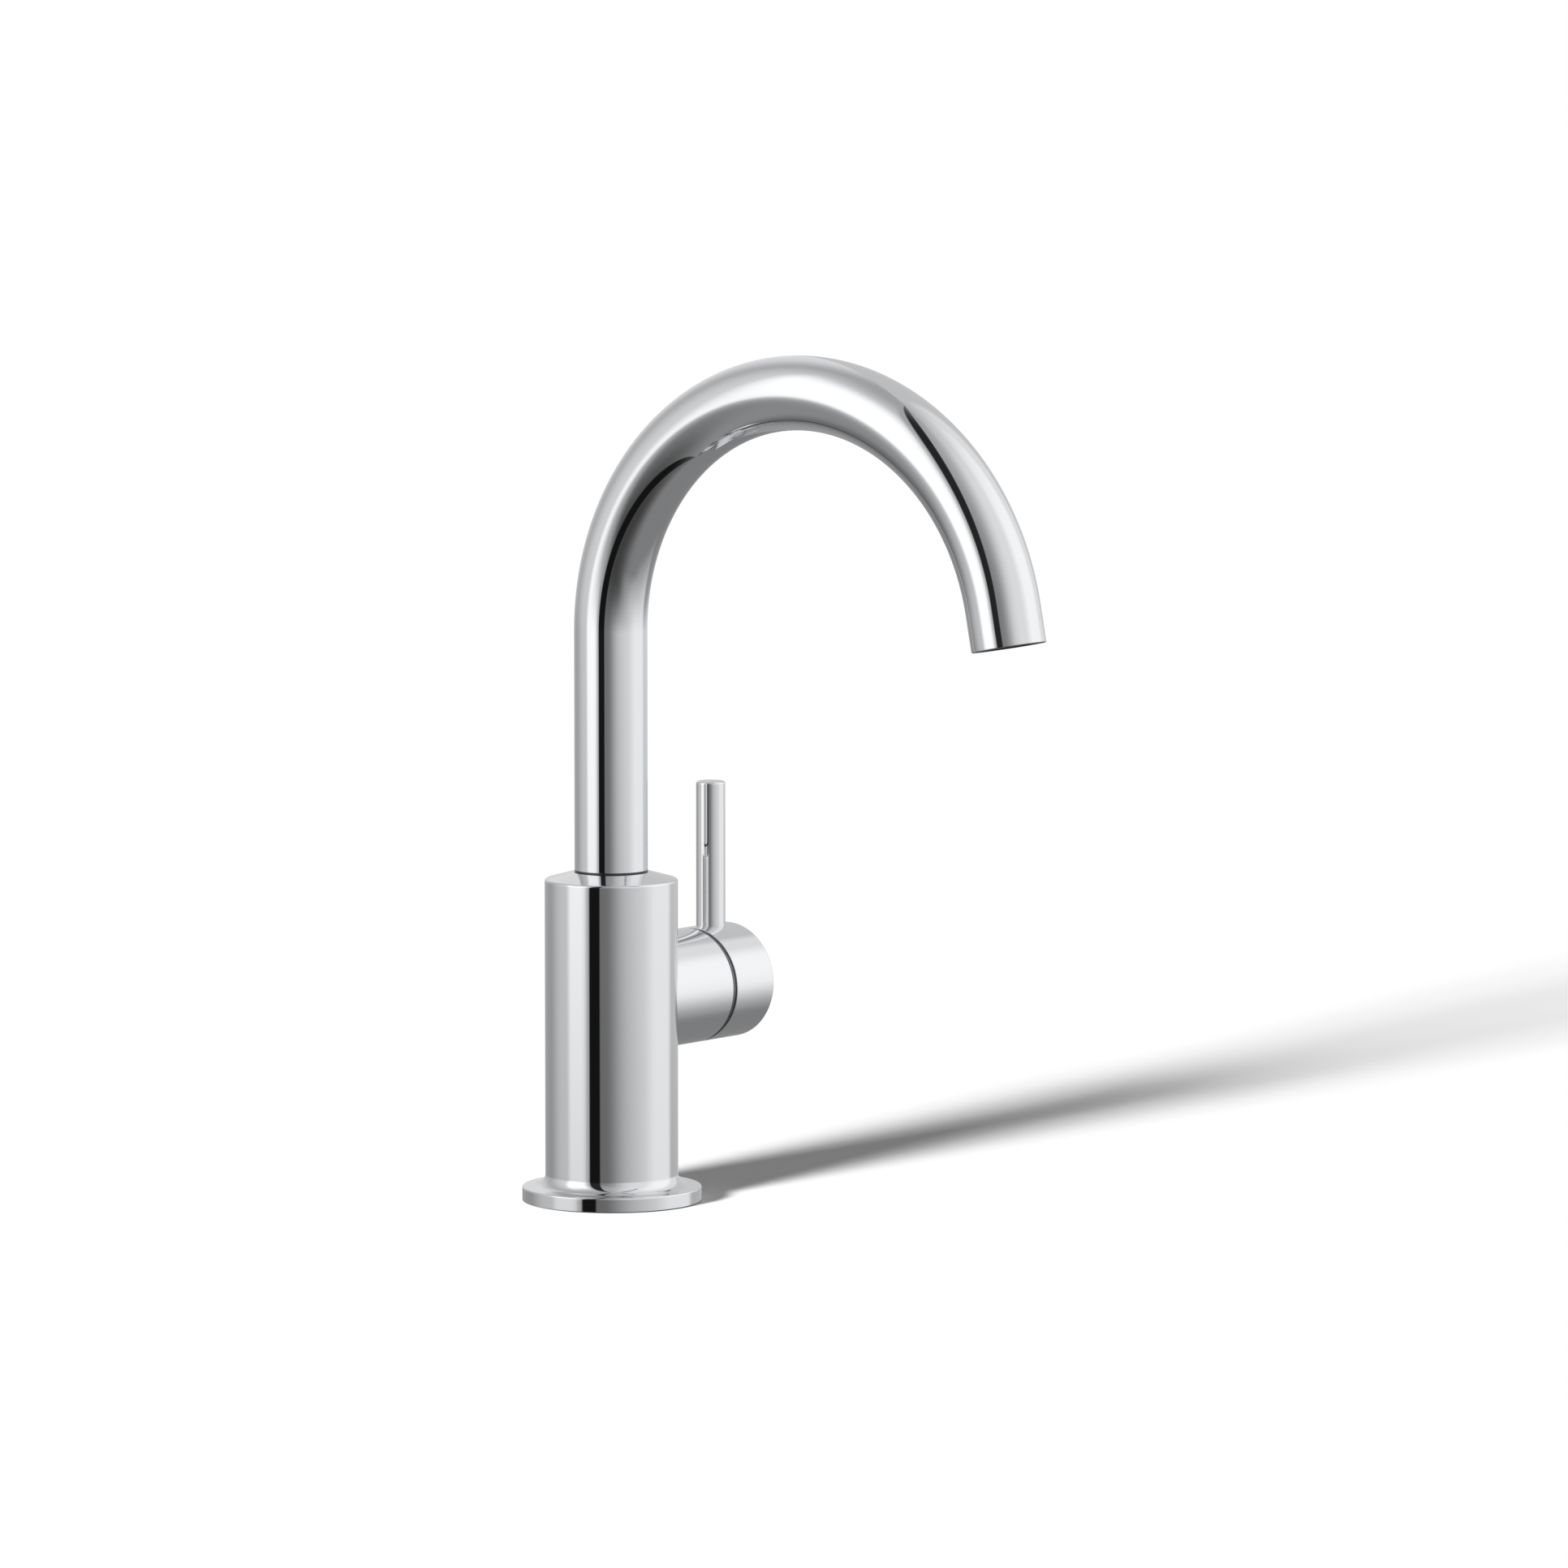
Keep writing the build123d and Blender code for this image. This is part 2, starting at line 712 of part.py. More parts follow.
pieces = [
    faucet_body,
    deck_gasket,
    shank,
    shank_o_ring,
    inlet_adapter,
    inlet_washer,
    inlet_strainer,
    rubber_washer,
    steel_washer,
    mounting_nut,
    valve_bonnet,
    bonnet_o_ring,
    seat_seal,
    fixed_disc,
    turning_disc,
    valve_stem,
    stem_o_rings,
    thrust_washer,
    stem_clip,
    hub_glide_ring,
    handle_hub,
    lever,
    hub_set_screw,
    spout_tube,
    spout_adapter,
    spout_o_rings,
    spout_bearing_ring,
    keeper_screw,
    outlet_bushing,
    aerator_housing,
    aerator_screens,
    screen_spacer,
    flow_regulator,
    aerator_washer,
]

os.makedirs("parts", exist_ok=True)
for piece in pieces:
    export_step(piece(), f"parts/{piece.__name__}.step")
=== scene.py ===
# %% [markdown]
# # A chromed water faucet in a white studio
#
# The construction of this faucet is already finished: every piece has its real size and place, and the
# bodies that swivel and turn are joined. This file gives the faucet its looks. It makes the mirror-bright
# outer pieces again as very fine surfaces, because a mirror shows every flat facet, cuts the threads that
# the construction leaves plain, and gives each piece the finish of its real material.

import math

import bmesh
import bpy
import numpy as np
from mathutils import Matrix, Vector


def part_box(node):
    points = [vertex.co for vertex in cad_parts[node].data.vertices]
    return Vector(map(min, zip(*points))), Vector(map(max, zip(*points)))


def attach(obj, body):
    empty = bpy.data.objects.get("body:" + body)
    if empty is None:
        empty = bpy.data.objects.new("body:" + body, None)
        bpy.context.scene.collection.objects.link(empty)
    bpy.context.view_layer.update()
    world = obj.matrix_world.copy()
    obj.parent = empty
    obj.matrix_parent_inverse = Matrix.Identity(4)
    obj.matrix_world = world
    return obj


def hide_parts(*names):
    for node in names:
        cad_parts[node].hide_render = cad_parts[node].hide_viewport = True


MM = 0.001

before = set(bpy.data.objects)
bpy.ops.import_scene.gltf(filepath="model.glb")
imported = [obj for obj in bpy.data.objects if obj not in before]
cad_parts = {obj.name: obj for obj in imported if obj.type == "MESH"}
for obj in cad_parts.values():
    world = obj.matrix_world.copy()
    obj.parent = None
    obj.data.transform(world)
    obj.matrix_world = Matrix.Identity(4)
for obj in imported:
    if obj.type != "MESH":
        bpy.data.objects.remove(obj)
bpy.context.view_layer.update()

# %% [markdown]
# ## The camera
#
# A product photo is taken with a long lens from a few metres away, so that upright lines stay upright and
# round shapes keep their proportions. The camera looks at a point just in front of the spout's upright,
# from the front left and slightly above. Its place follows from that point, a distance and two angles.

# %% Camera
CAMERA_AIM = (20.69 * MM, -49.72 * MM, 127.59 * MM)
CAMERA_DISTANCE = 2.677
CAMERA_TURN = math.radians(-51.8)
CAMERA_TILT = math.radians(6.12)
CAMERA_LENS = 206.05
CAMERA_SENSOR = 36
NEAREST_SEEN = 0.05

camera_data = bpy.data.cameras.new("photo_camera")
camera_data.lens = CAMERA_LENS
camera_data.sensor_width = CAMERA_SENSOR
camera_data.clip_start = NEAREST_SEEN
camera = bpy.data.objects.new("photo_camera", camera_data)
bpy.context.scene.collection.objects.link(camera)
bpy.context.scene.camera = camera
look = np.array([
    -math.sin(CAMERA_TURN) * math.cos(CAMERA_TILT),
    math.cos(CAMERA_TURN) * math.cos(CAMERA_TILT),
    -math.sin(CAMERA_TILT),
])
camera.location = np.array(CAMERA_AIM) - CAMERA_DISTANCE * look
camera.rotation_euler = (math.radians(90) - CAMERA_TILT, 0, CAMERA_TURN)
print("camera at", tuple(round(x, 4) for x in camera.location))

# %% [markdown]
# ## Colours and nodes
#
# Colours are written as sRGB hex values, as a paint chart or a picture editor gives them. Blender's
# shaders count in linear light, so one function turns the one into the other. A second small function
# adds a shader node with its settings and links, which keeps each material short enough to read.


# %% Helpers for colours and nodes
def linear(hex_colour):
    """Linear red, green, blue and 1 of an sRGB hex colour such as "C8C8C8".

    Each channel c becomes c / 12.92 up to 0.04045, and ((c + 0.055) / 1.055) to the power 2.4 above it.
    """
    channels = [int(hex_colour[i:i + 2], 16) / 255 for i in (0, 2, 4)]
    return [c / 12.92 if c <= 0.04045 else ((c + 0.055) / 1.055) ** 2.4 for c in channels] + [1]


def add(tree, kind, inputs=None, **settings):
    """Adds one node to a tree. inputs holds values, or outputs of other nodes, by input name or number."""
    node = tree.nodes.new("ShaderNode" + kind)
    for name, value in settings.items():
        setattr(node, name, value)
    for name, value in (inputs or {}).items():
        if isinstance(value, bpy.types.NodeSocket):
            tree.links.new(value, node.inputs[name])
        else:
            node.inputs[name].default_value = value
    return node


print("mid grey 808080 is", round(linear("808080")[0], 4), "in linear light")

# %% [markdown]
# ## The studio
#
# Chrome has no colour of its own: what it shows is the room. So the room is built as a photographer
# builds it, from large soft panels round the faucet: a white softbox at the left, a narrow black card
# beside it that draws the dark line down every round piece, grey walls that brighten to the right, and a
# darker floor. They are written into the world shader as directions, so nothing stands in the way of the
# camera and every view of the faucet has the same studio. Only reflections see them. The camera sees a
# plain white background.
#
# Every point of a round mirror shows one direction of the room, so the bright and dark bands of the tube
# tell what stood there. A separate fitting program made use of that. The greys, edges and softness of the
# panels, and of the plain wall and floor behind them, were fitted until the bands agreed with the photo, and
# then rounded into this table. Only the grey of the black card was changed afterwards. So these are fitted
# numbers, and a photographer would choose rounder ones.
#
# Each panel has a bearing and a height above the horizon, in degrees. Bearing 0 is the way to the camera,
# and negative bearings lie to the camera's left. A panel's edges are as soft as its softness says.

# %% Studio panels
BEARING_OF_CAMERA = math.atan2(camera.location.y, camera.location.x)
CHROME_COLOUR = "E4E5E7"
CHROME_REFLECTS = linear(CHROME_COLOUR)[0]

# name, grey, bearings of its two edges, their softness, heights of its two edges, their softness, lean
PANELS = [
    ("ceiling", "9E9E9E", (-400, 400), (9, 9), (69, 200), (20, 9), 0),
    ("left wall far", "D2D2D2", (-210, -151), (9, 55), (-8, 63), (6, 44), 0),
    ("left wall near", "CDCDCD", (-116, -46), (58, 6), (-9, 61), (21, 41), 0),
    ("right wall", "D8D8D8", (16, 400), (60, 9), (-7, 78), (12, 60), 0),
    ("right wall bright", "F2F2F2", (70, 120), (29, 18), (-62, 58), (52, 60), 0),
    ("right wall dark", "787878", (-34, 4), (2, 40), (-100, 28), (11, 60), 0),
    ("low light right", "DFDFDF", (11, 117), (40, 2), (-29, -5), (7, 40), 0),
    ("floor left far", "565656", (-210, -116), (9, 35), (-100, -11), (9, 20), 0),
    ("floor left near", "4D4D4D", (-63, -36), (45, 9), (-70, -18), (60, 10), 0),
    ("floor right dark", "3D3D3D", (-20, 39), (2, 60), (-75, -10), (60, 28), 0),
    ("floor right", "7A7A7A", (19, 230), (60, 9), (-100, -20), (9, 38), 0),
    ("wall behind right", "BBBBBB", (145, 400), (13, 9), (-4, 79), (3, 2), 0),
    ("wall behind left", "919191", (-400, -141), (9, 60), (-66, -3), (12, 40), 0),
    ("softbox", "FFFFFF", (-82, -46), (13, 20), (-8, 47), (9, 26), 0.27),
    ("black card", "242424", (-38, -20), (3, 3), (-75, 92), (60, 60), 0),
    ("card foot", "131313", (-39, -21), (4, 3), (-86, -4), (60, 7), 0),
]
print(len(PANELS), "panels, bearing of the camera", round(math.degrees(BEARING_OF_CAMERA), 1))

# %% [markdown]
# The world shader turns a direction into a bearing (the arctangent of its two level parts) and a height
# (the arcsine of its upright part). Then it lays the panels over a plain background one by one. A panel
# covers what is behind it by the product of four smooth steps, one for each of its edges.


# %% World
def degrees_of(tree, operation, *values):
    """An arctangent or arcsine node, turned from radians into degrees."""
    angle = add(tree, "Math", dict(enumerate(values)), operation=operation)
    return add(tree, "Math", {0: angle.outputs[0], 1: 180 / math.pi}, operation="MULTIPLY").outputs[0]


def soft_edge(tree, value, edge, softness, rising):
    """Smooth step of a value across an edge: 0 to 1 if rising, or 1 to 0."""
    step = add(
        tree,
        "MapRange",
        {"Value": value, 1: edge - softness / 2, 2: edge + softness / 2, 3: 1 - rising, 4: rising},
        interpolation_type="SMOOTHSTEP",
    )
    return step.outputs[0]


def panel_mask(tree, bearing, height, edges, softness, heights, height_softness, lean):
    """Product of the four soft edges of a panel; lean slants its left edge, in degrees per degree."""
    slant = add(tree, "Math", {0: height, 1: lean, 2: bearing}, operation="MULTIPLY_ADD").outputs[0]
    mask = soft_edge(tree, slant, edges[0], softness[0], 1)
    for value, edge, soft, rising in (
        (bearing, edges[1], softness[1], 0),
        (height, heights[0], height_softness[0], 1),
        (height, heights[1], height_softness[1], 0),
    ):
        step = soft_edge(tree, value, edge, soft, rising)
        mask = add(tree, "Math", {0: mask, 1: step}, operation="MULTIPLY").outputs[0]
    return mask


WALL_GREY = "9F9F9F"
FLOOR_GREY = "848484"
HORIZON_SOFTNESS = 34
HORIZON_HEIGHT = -14
AMBIENT_LEVEL = 0.2

world = bpy.data.worlds.new("studio")
bpy.context.scene.world = world
world.use_nodes = True
# The faucet is lit by its lamps; the reflections find the world by themselves, without sampling it.
world.cycles.sampling_method = "NONE"
tree = world.node_tree
tree.nodes.clear()
direction = add(tree, "TexCoord").outputs["Generated"]
to_camera = {"Vector": direction, "Angle": -BEARING_OF_CAMERA}
from_camera = add(tree, "VectorRotate", to_camera, rotation_type="Z_AXIS")
parts = add(tree, "SeparateXYZ", {0: from_camera.outputs[0]})
bearing = degrees_of(tree, "ARCTAN2", parts.outputs[1], parts.outputs[0])
height = degrees_of(tree, "ARCSINE", parts.outputs[2])
above = soft_edge(tree, height, HORIZON_HEIGHT, HORIZON_SOFTNESS, 1)
level = add(tree, "MapRange", {0: above, 3: linear(FLOOR_GREY)[0], 4: linear(WALL_GREY)[0]}).outputs[0]
for name, grey, *shape in PANELS:
    mask = panel_mask(tree, bearing, height, *shape)
    level = add(tree, "Mix", {0: mask, 2: level, 3: linear(grey)[0]}, data_type="FLOAT").outputs[0]

# Chrome gives back a little less than it gets, so the reflected studio is brighter by that share.
reflected = add(tree, "Background", {"Color": level, "Strength": 1 / CHROME_REFLECTS})
ambient = add(tree, "Background", {"Color": (1, 1, 1, 1), "Strength": AMBIENT_LEVEL})
backdrop = add(tree, "Background", {"Color": (1, 1, 1, 1), "Strength": 1})
rays = add(tree, "LightPath")
straight = {0: rays.outputs["Is Camera Ray"], 1: rays.outputs["Is Transmission Ray"]}
seen = add(tree, "Math", straight, operation="MAXIMUM")
mirrored = rays.outputs["Is Glossy Ray"]
mixed = add(tree, "MixShader", {0: mirrored, 1: ambient.outputs[0], 2: reflected.outputs[0]})
mixed = add(tree, "MixShader", {0: seen.outputs[0], 1: mixed.outputs[0], 2: backdrop.outputs[0]})
add(tree, "OutputWorld", {"Surface": mixed.outputs[0]})
print("world with", len(tree.nodes), "nodes")

# %% [markdown]
# ## Sizes from the construction
#
# A new piece has to sit exactly where the construction has the plain one. Its box gives the piece's main
# sizes, in millimetres here, because that is how a maker thinks of them. Only sizes that no box can show,
# such as a round edge or a bore, are written as numbers.


# %% Sizes
def size_of(node):
    """Lowest and highest corner of a piece of the construction, in millimetres to a hundredth."""
    return [np.round(np.array(corner) / MM, 2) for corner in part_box(node)]


flange_radius = -size_of("faucet_body")[0][0]
hub_low, hub_high = size_of("handle_hub")
lever_low, lever_high = size_of("lever")
tube_low, tube_high = size_of("spout_tube")
VALVE_HEIGHT = (hub_low[2] + hub_high[2]) / 2
HUB_RADIUS = hub_high[1]
LEVER_X = (lever_low[0] + lever_high[0]) / 2
LEVER_RADIUS = lever_high[0] - LEVER_X
TUBE_RADIUS = tube_high[0]
print("valve at", round(VALVE_HEIGHT, 3), "mm, hub radius", round(HUB_RADIUS, 3), "mm")

# %% [markdown]
# ## Surfaces from formulas
#
# Most pieces of a faucet are turned on a lathe: an outline spun about an axis. Others are an outline
# carried along a path, as the bent tube is. Both are one surface with two parameters, the step along the
# outline and the angle round it, so numpy works out the whole grid of points at once.
#
# A mirror finish shows the smallest error in a surface's direction. So each grid also carries the true
# normal at each of its points, worked out from the same formula. The outline's direction gives it: turned
# a quarter to the right, it points out of the metal.

# %% Outlines
ROUND_STEPS = 10


def outline(*corners):
    """Points and directions along an outline of (radius, height) corners. A third number rounds a corner.

    A round corner is an arc between two lines: start + round * (sin t * onward + (1 - cos t) * aside), and
    its direction is cos t * onward + sin t * aside. A sharp corner is one point twice, in both directions.
    """
    spots = np.array([corner[:2] for corner in corners], float)
    rounds = [(*corner, 0)[2] for corner in corners]
    ways = np.diff(spots, axis=0)
    ways /= np.linalg.norm(ways, axis=1)[:, None]
    points, directions = [spots[:1]], [ways[:1]]
    for spot, size, onward, after in zip(spots[1:], rounds[1:], ways, ways[1:]):
        turn = math.atan2(onward[0] * after[1] - onward[1] * after[0], onward @ after)
        aside = math.copysign(1, turn) * np.array([-onward[1], onward[0]])
        t = np.linspace(0, abs(turn), ROUND_STEPS if size else 2)[:, None]
        start = spot - onward * size * math.tan(abs(turn) / 2)
        points.append(start + size * (np.sin(t) * onward + (1 - np.cos(t)) * aside))
        directions.append(np.cos(t) * onward + np.sin(t) * aside)
    return np.vstack(points + [spots[-1:]]), np.vstack(directions + [ways[-1:]])


# %% Turned surfaces
RING = np.radians(np.arange(0, 360, 2.5))
WORLD_AXES = np.eye(3)
VALVE_AXES = np.array([[0, 1, 0], [0, 0, 1], [1, 0, 0]])


def turned(path, angles=RING):
    """Spins an outline about z: (r, h) goes to (r cos a, r sin a, h), and its normal turns with it."""
    points, ways = path
    across = np.stack([np.cos(angles), np.sin(angles), 0 * angles], axis=-1)
    along = np.array([0, 0, 1.0])
    places = points[:, 0, None, None] * across + points[:, 1, None, None] * along
    normals = ways[:, 1, None, None] * across - ways[:, 0, None, None] * along
    return places, normals


def many_sided(rows, angles=RING):
    """Flat faces between rows of (radius, height), either of which may be an array that changes round z."""
    across = np.stack([np.cos(angles), np.sin(angles)], axis=-1)
    flat = [np.column_stack([across * np.reshape(r, (-1, 1)), h + 0 * angles]) for r, h in rows]
    return np.stack(flat), None


def polygon(flats, sides, angles=RING):
    """Radius of a many-sided bar round its axis: half its flats over the cosine of the angle to a flat."""
    step = 2 * math.pi / sides
    return flats / 2 / np.cos((angles + step / 2) % step - step / 2)


def placed(grid, axes, origin):
    """A grid drawn about its own z, turned so that its axes are the given rows, and moved to its origin."""
    places, normals = grid
    return places @ axes + origin, None if normals is None else normals @ axes


print("a ring has", len(RING), "points")

# %% [markdown]
# ## One closed mesh from several grids
#
# Each grid becomes quads. Grids that share an edge have the same points there, so merging the doubles
# closes the piece, and the flat slivers at a pole or a sharp corner disappear. The normals ride along as a
# value on each corner of each face, and become the mesh's own at the end. The print gives the number of
# open edges, which has to be zero, and the volume, which is negative if the faces look inwards.

# %% Meshes
WELD_DISTANCE = 0.0004 * MM


def grid_quads(rows, columns):
    """Corners of a grid's quads as point numbers. The last column meets the first."""
    number = np.arange(rows * columns).reshape(rows, columns)
    after = np.roll(number, -1, axis=1)
    return np.stack([number[:-1], after[:-1], after[1:], number[1:]], axis=-1).reshape(-1, 4)


def corner_normals(points, normals, quads):
    """The grid's normals at the corners of its quads, or each quad's own if the grid has none."""
    if normals is not None:
        return normals.reshape(-1, 3)[quads]
    corners = points[quads]
    flat = np.cross(corners[:, 2] - corners[:, 0], corners[:, 3] - corners[:, 1])
    flat /= np.maximum(np.linalg.norm(flat, axis=1), 1e-12)[:, None]
    return np.repeat(flat[:, None], 4, axis=1)


def solid(name, material, grids):
    """One closed object from grids in millimetres, each a pair of points and normals."""
    points, corners, quads = [], [], []
    for places, normals in grids:
        grid = grid_quads(*places.shape[:2])
        flat = places.reshape(-1, 3)
        corners.append(corner_normals(flat, normals, grid))
        quads.append(grid + sum(map(len, points)))
        points.append(flat)
    mesh = bpy.data.meshes.new(name)
    mesh.from_pydata(np.vstack(points) * MM, [], np.vstack(quads))
    carried = mesh.attributes.new("true_normal", "FLOAT_VECTOR", "CORNER")
    carried.data.foreach_set("vector", np.vstack(corners).ravel())
    work = bmesh.new()
    work.from_mesh(mesh)
    bmesh.ops.remove_doubles(work, verts=work.verts, dist=WELD_DISTANCE)
    open_edges = sum(not edge.is_manifold for edge in work.edges)
    volume = work.calc_volume(signed=True) / MM**3
    work.to_mesh(mesh)
    work.free()
    mesh.shade_smooth()
    normals = np.empty(len(mesh.loops) * 3, np.float32)
    mesh.attributes["true_normal"].data.foreach_get("vector", normals)
    mesh.normals_split_custom_set(normals.reshape(-1, 3))
    mesh.attributes.remove(mesh.attributes["true_normal"])
    mesh.materials.append(material)
    piece = bpy.data.objects.new(name, mesh)
    bpy.context.scene.collection.objects.link(piece)
    print(f"{name}: {len(mesh.polygons)} faces, {open_edges} open edges, {volume:.0f} cubic mm")
    return piece


def stands_for(piece, node, body):
    """The new piece moves with a body and is shown instead of the plain node."""
    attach(piece, body)
    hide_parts(node)
    return piece


# %% [markdown]
# ## Chrome
#
# The faucet's outside is bright chrome: brass or copper is polished, plated with nickel for its mirror, and
# then with a quarter of a micron of chromium against scratches and tarnish. Chromium gives back two thirds
# of the light or somewhat more, most of all the blue, and that cool grey is all the colour it has. The
# mirror isn't quite perfect. The buffing wheel leaves faint long waves, some millimetres apart, and
# a haze of hairlines, so the roughness changes a little over the surface.
#
# Every finish is made in this way: a cloudy pattern varies the gloss between two values, and a second
# pattern is the relief. One function joins both to the shader.

# %% Polished chrome
CHROME_ROUGHNESS = (0.02, 0.045)
HAZE_SIZE = 7
HAZE_RANGE = (0.35, 0.7)
WAVE_SIZE = 11
WAVE_DEPTH = 0.0012
CLOUD_RANGE = (0.3, 0.7)


def new_material(name, colour, metallic, roughness):
    """A material, its tree and its one shader. The roughness is for viewers that don't follow nodes."""
    material = bpy.data.materials.new(name)
    material.use_nodes = True
    tree = material.node_tree
    shader = tree.nodes["Principled BSDF"]
    shader.inputs["Base Color"].default_value = linear(colour)
    shader.inputs["Metallic"].default_value = metallic
    shader.inputs["Roughness"].default_value = roughness
    return material, tree, shader


def per_mm(size):
    """Scale of a pattern whose features are this many millimetres wide."""
    return 1 / (size * MM)


def surface(tree, shader, cloud, roughness, relief, depth, cloud_range=CLOUD_RANGE):
    """A cloud varies the roughness between two values, and a relief is raised by a depth in millimetres."""
    spread = dict(enumerate((*cloud_range, *roughness), start=1))
    gloss = add(tree, "MapRange", {"Value": cloud, **spread})
    bump = add(tree, "Bump", {"Height": relief, "Strength": 1, "Distance": depth * MM})
    tree.links.new(gloss.outputs[0], shader.inputs["Roughness"])
    tree.links.new(bump.outputs[0], shader.inputs["Normal"])


def polished_chrome():
    """Bright chrome plate on a buffed casting."""
    material, tree, shader = new_material("polished_chrome_plate", CHROME_COLOUR, 1.0, CHROME_ROUGHNESS[0])
    place = add(tree, "TexCoord").outputs["Object"]
    haze = add(tree, "TexNoise", {"Vector": place, "Scale": per_mm(HAZE_SIZE), "Detail": 3})
    waves = add(tree, "TexNoise", {"Vector": place, "Scale": per_mm(WAVE_SIZE), "Detail": 1})
    surface(tree, shader, haze.outputs[0], CHROME_ROUGHNESS, waves.outputs[0], WAVE_DEPTH, HAZE_RANGE)
    return material


chrome = polished_chrome()
print("chrome gives back", round(linear(CHROME_COLOUR)[0], 3), "of red light")

# %% [markdown]
# ## The body
#
# The body is one brass casting. Most of it is turned: a thin foot flange, a hollow curve up to the column,
# and a low cone on top round the spout's socket. The boss for the valve leaves the column sideways, and
# behind it a small hole holds the screw that keeps the spout down.
#
# A round hole in a round wall has a rim that bends with the wall. The wall is drawn as two sheets, one below
# and one above the hole's centre, that meet beside it. Each leaves the hole open by the height of the rim
# over that centre. The boss is drawn the other way about: its first ring is moved along its own axis until
# it lies on the wall. Both use the same points of the rim, so nothing gapes.


# %% Round holes in round walls
def rim_reach(radius, hole):
    """Angle from a hole's centre to its side, seen from the axis of the wall."""
    return math.asin(hole[2] / radius)


def wall_angles(radius, holes):
    """Even angles round a wall, and across each hole those of its rim: arcsin(hole sin a / radius)."""
    angles = RING
    for hole in holes:
        beside = np.abs((angles - hole[0] + math.pi) % (2 * math.pi) - math.pi)
        rim = hole[0] + np.arcsin(hole[2] / radius * np.sin(RING))
        angles = np.concatenate([angles[beside > rim_reach(radius, hole)], rim])
    return np.unique(np.round(angles % (2 * math.pi), 12))


def pierced_wall(radius, low, high, angles, holes):
    """Two sheets of a round wall. A hole is open by sqrt(hole² - (radius sin a)²) above and below."""
    sides = [(side * rim_reach(radius, hole) + hole[0], hole[1]) for hole in holes for side in (-1, 1)]
    seam = np.interp(angles, *zip(*sides), period=2 * math.pi)
    gap = 0 * angles
    for hole in holes:
        facing = np.cos(angles - hole[0]) > 0
        opening = np.maximum(hole[2] ** 2 - (radius * np.sin(angles - hole[0])) ** 2, 0)
        gap = gap + np.sqrt(opening * facing)
    across = np.column_stack([np.cos(angles), np.sin(angles), 0 * angles])
    edges = [low + 0 * angles, seam - gap, seam + gap, high + 0 * angles]
    rows = [radius * across + np.outer(edge, (0, 0, 1)) for edge in edges]
    normals = np.stack([across, across])
    return [(np.stack(rows[:2]), normals), (np.stack(rows[2:]), normals)]


def through_wall(radius, hole, *corners):
    """Sides of a hole or a boss: an outline about the hole's axis, whose first ring lies on the wall."""
    places, normals = turned(outline((hole[2], 0), *corners))
    places[0, :, 2] = np.sqrt(radius**2 - places[0, :, 0] ** 2)
    cos, sin = math.cos(hole[0]), math.sin(hole[0])
    axes = np.array([[-sin, cos, 0], [0, 0, 1], [cos, sin, 0]])
    return placed((places, normals), axes, (0, 0, hole[1]))


# %% Chromed body
# A pair is a radius and a height. In the two sideways holes it is a radius and a distance from the body's
# axis, and for the seam it is where that starts and ends.
FLANGE_FOOT = 0.2
FLANGE_TOP = 4.5
FLANGE_ROUNDS = (0.2, 0.5)
COVE = 3.7
COLUMN_RADIUS = 20.0
COLUMN_TOP = 97.4
COLUMN_EDGE = 0.8
CROWN = (11.7, 99.65)
SOCKET = (9.0, 79.0)
OUTLET_PASSAGE = (3.5, 74.2)
SHANK_HOLE = (10.5, 20.0)
GASKET_RECESS = (25.0, 2.0)
SEAM = (37.05, 38.9)
SEAM_EDGE = 0.2
VALVE_BORE = (12.45, -6.0)
SEAT_BORE = (5.0, -13.7)
KEEPER_HEIGHT = 93.2
KEEPER_HOLE = (2.55, 9.2)

# A hole in a round wall is the angle at which it lies, its height and its radius.
boss = (0.0, VALVE_HEIGHT, HUB_RADIUS)
keeper = (math.pi / 2, KEEPER_HEIGHT, KEEPER_HOLE[0])
around = wall_angles(COLUMN_RADIUS, [boss, keeper])
below = outline(
    (0, SHANK_HOLE[1]),
    SHANK_HOLE,
    (SHANK_HOLE[0], GASKET_RECESS[1]),
    GASKET_RECESS,
    (GASKET_RECESS[0], FLANGE_FOOT),
    (flange_radius, FLANGE_FOOT, FLANGE_ROUNDS[0]),
    (flange_radius, FLANGE_TOP, FLANGE_ROUNDS[1]),
    (COLUMN_RADIUS, FLANGE_TOP, COVE),
    (COLUMN_RADIUS, FLANGE_TOP + 2 * COVE),
)
above = outline(
    (COLUMN_RADIUS, COLUMN_TOP - 2 * COLUMN_EDGE),
    (COLUMN_RADIUS, COLUMN_TOP, COLUMN_EDGE),
    CROWN,
    (SOCKET[0], CROWN[1]),
    SOCKET,
    (OUTLET_PASSAGE[0], SOCKET[1]),
    OUTLET_PASSAGE,
    (0, OUTLET_PASSAGE[1]),
)
chromed_body = solid("chromed_body", chrome, [
    turned(below, around),
    *pierced_wall(COLUMN_RADIUS, below[0][-1, 1], above[0][0, 1], around, [boss, keeper]),
    turned(above, around),
    through_wall(
        COLUMN_RADIUS, boss,
        (HUB_RADIUS, SEAM[0], SEAM_EDGE), (VALVE_BORE[0], SEAM[0]), VALVE_BORE,
        (SEAT_BORE[0], VALVE_BORE[1]), SEAT_BORE, (0, SEAT_BORE[1]),
    ),
    through_wall(COLUMN_RADIUS, keeper, KEEPER_HOLE, (0, KEEPER_HOLE[1])),
])
stands_for(chromed_body, "faucet_body", "base")

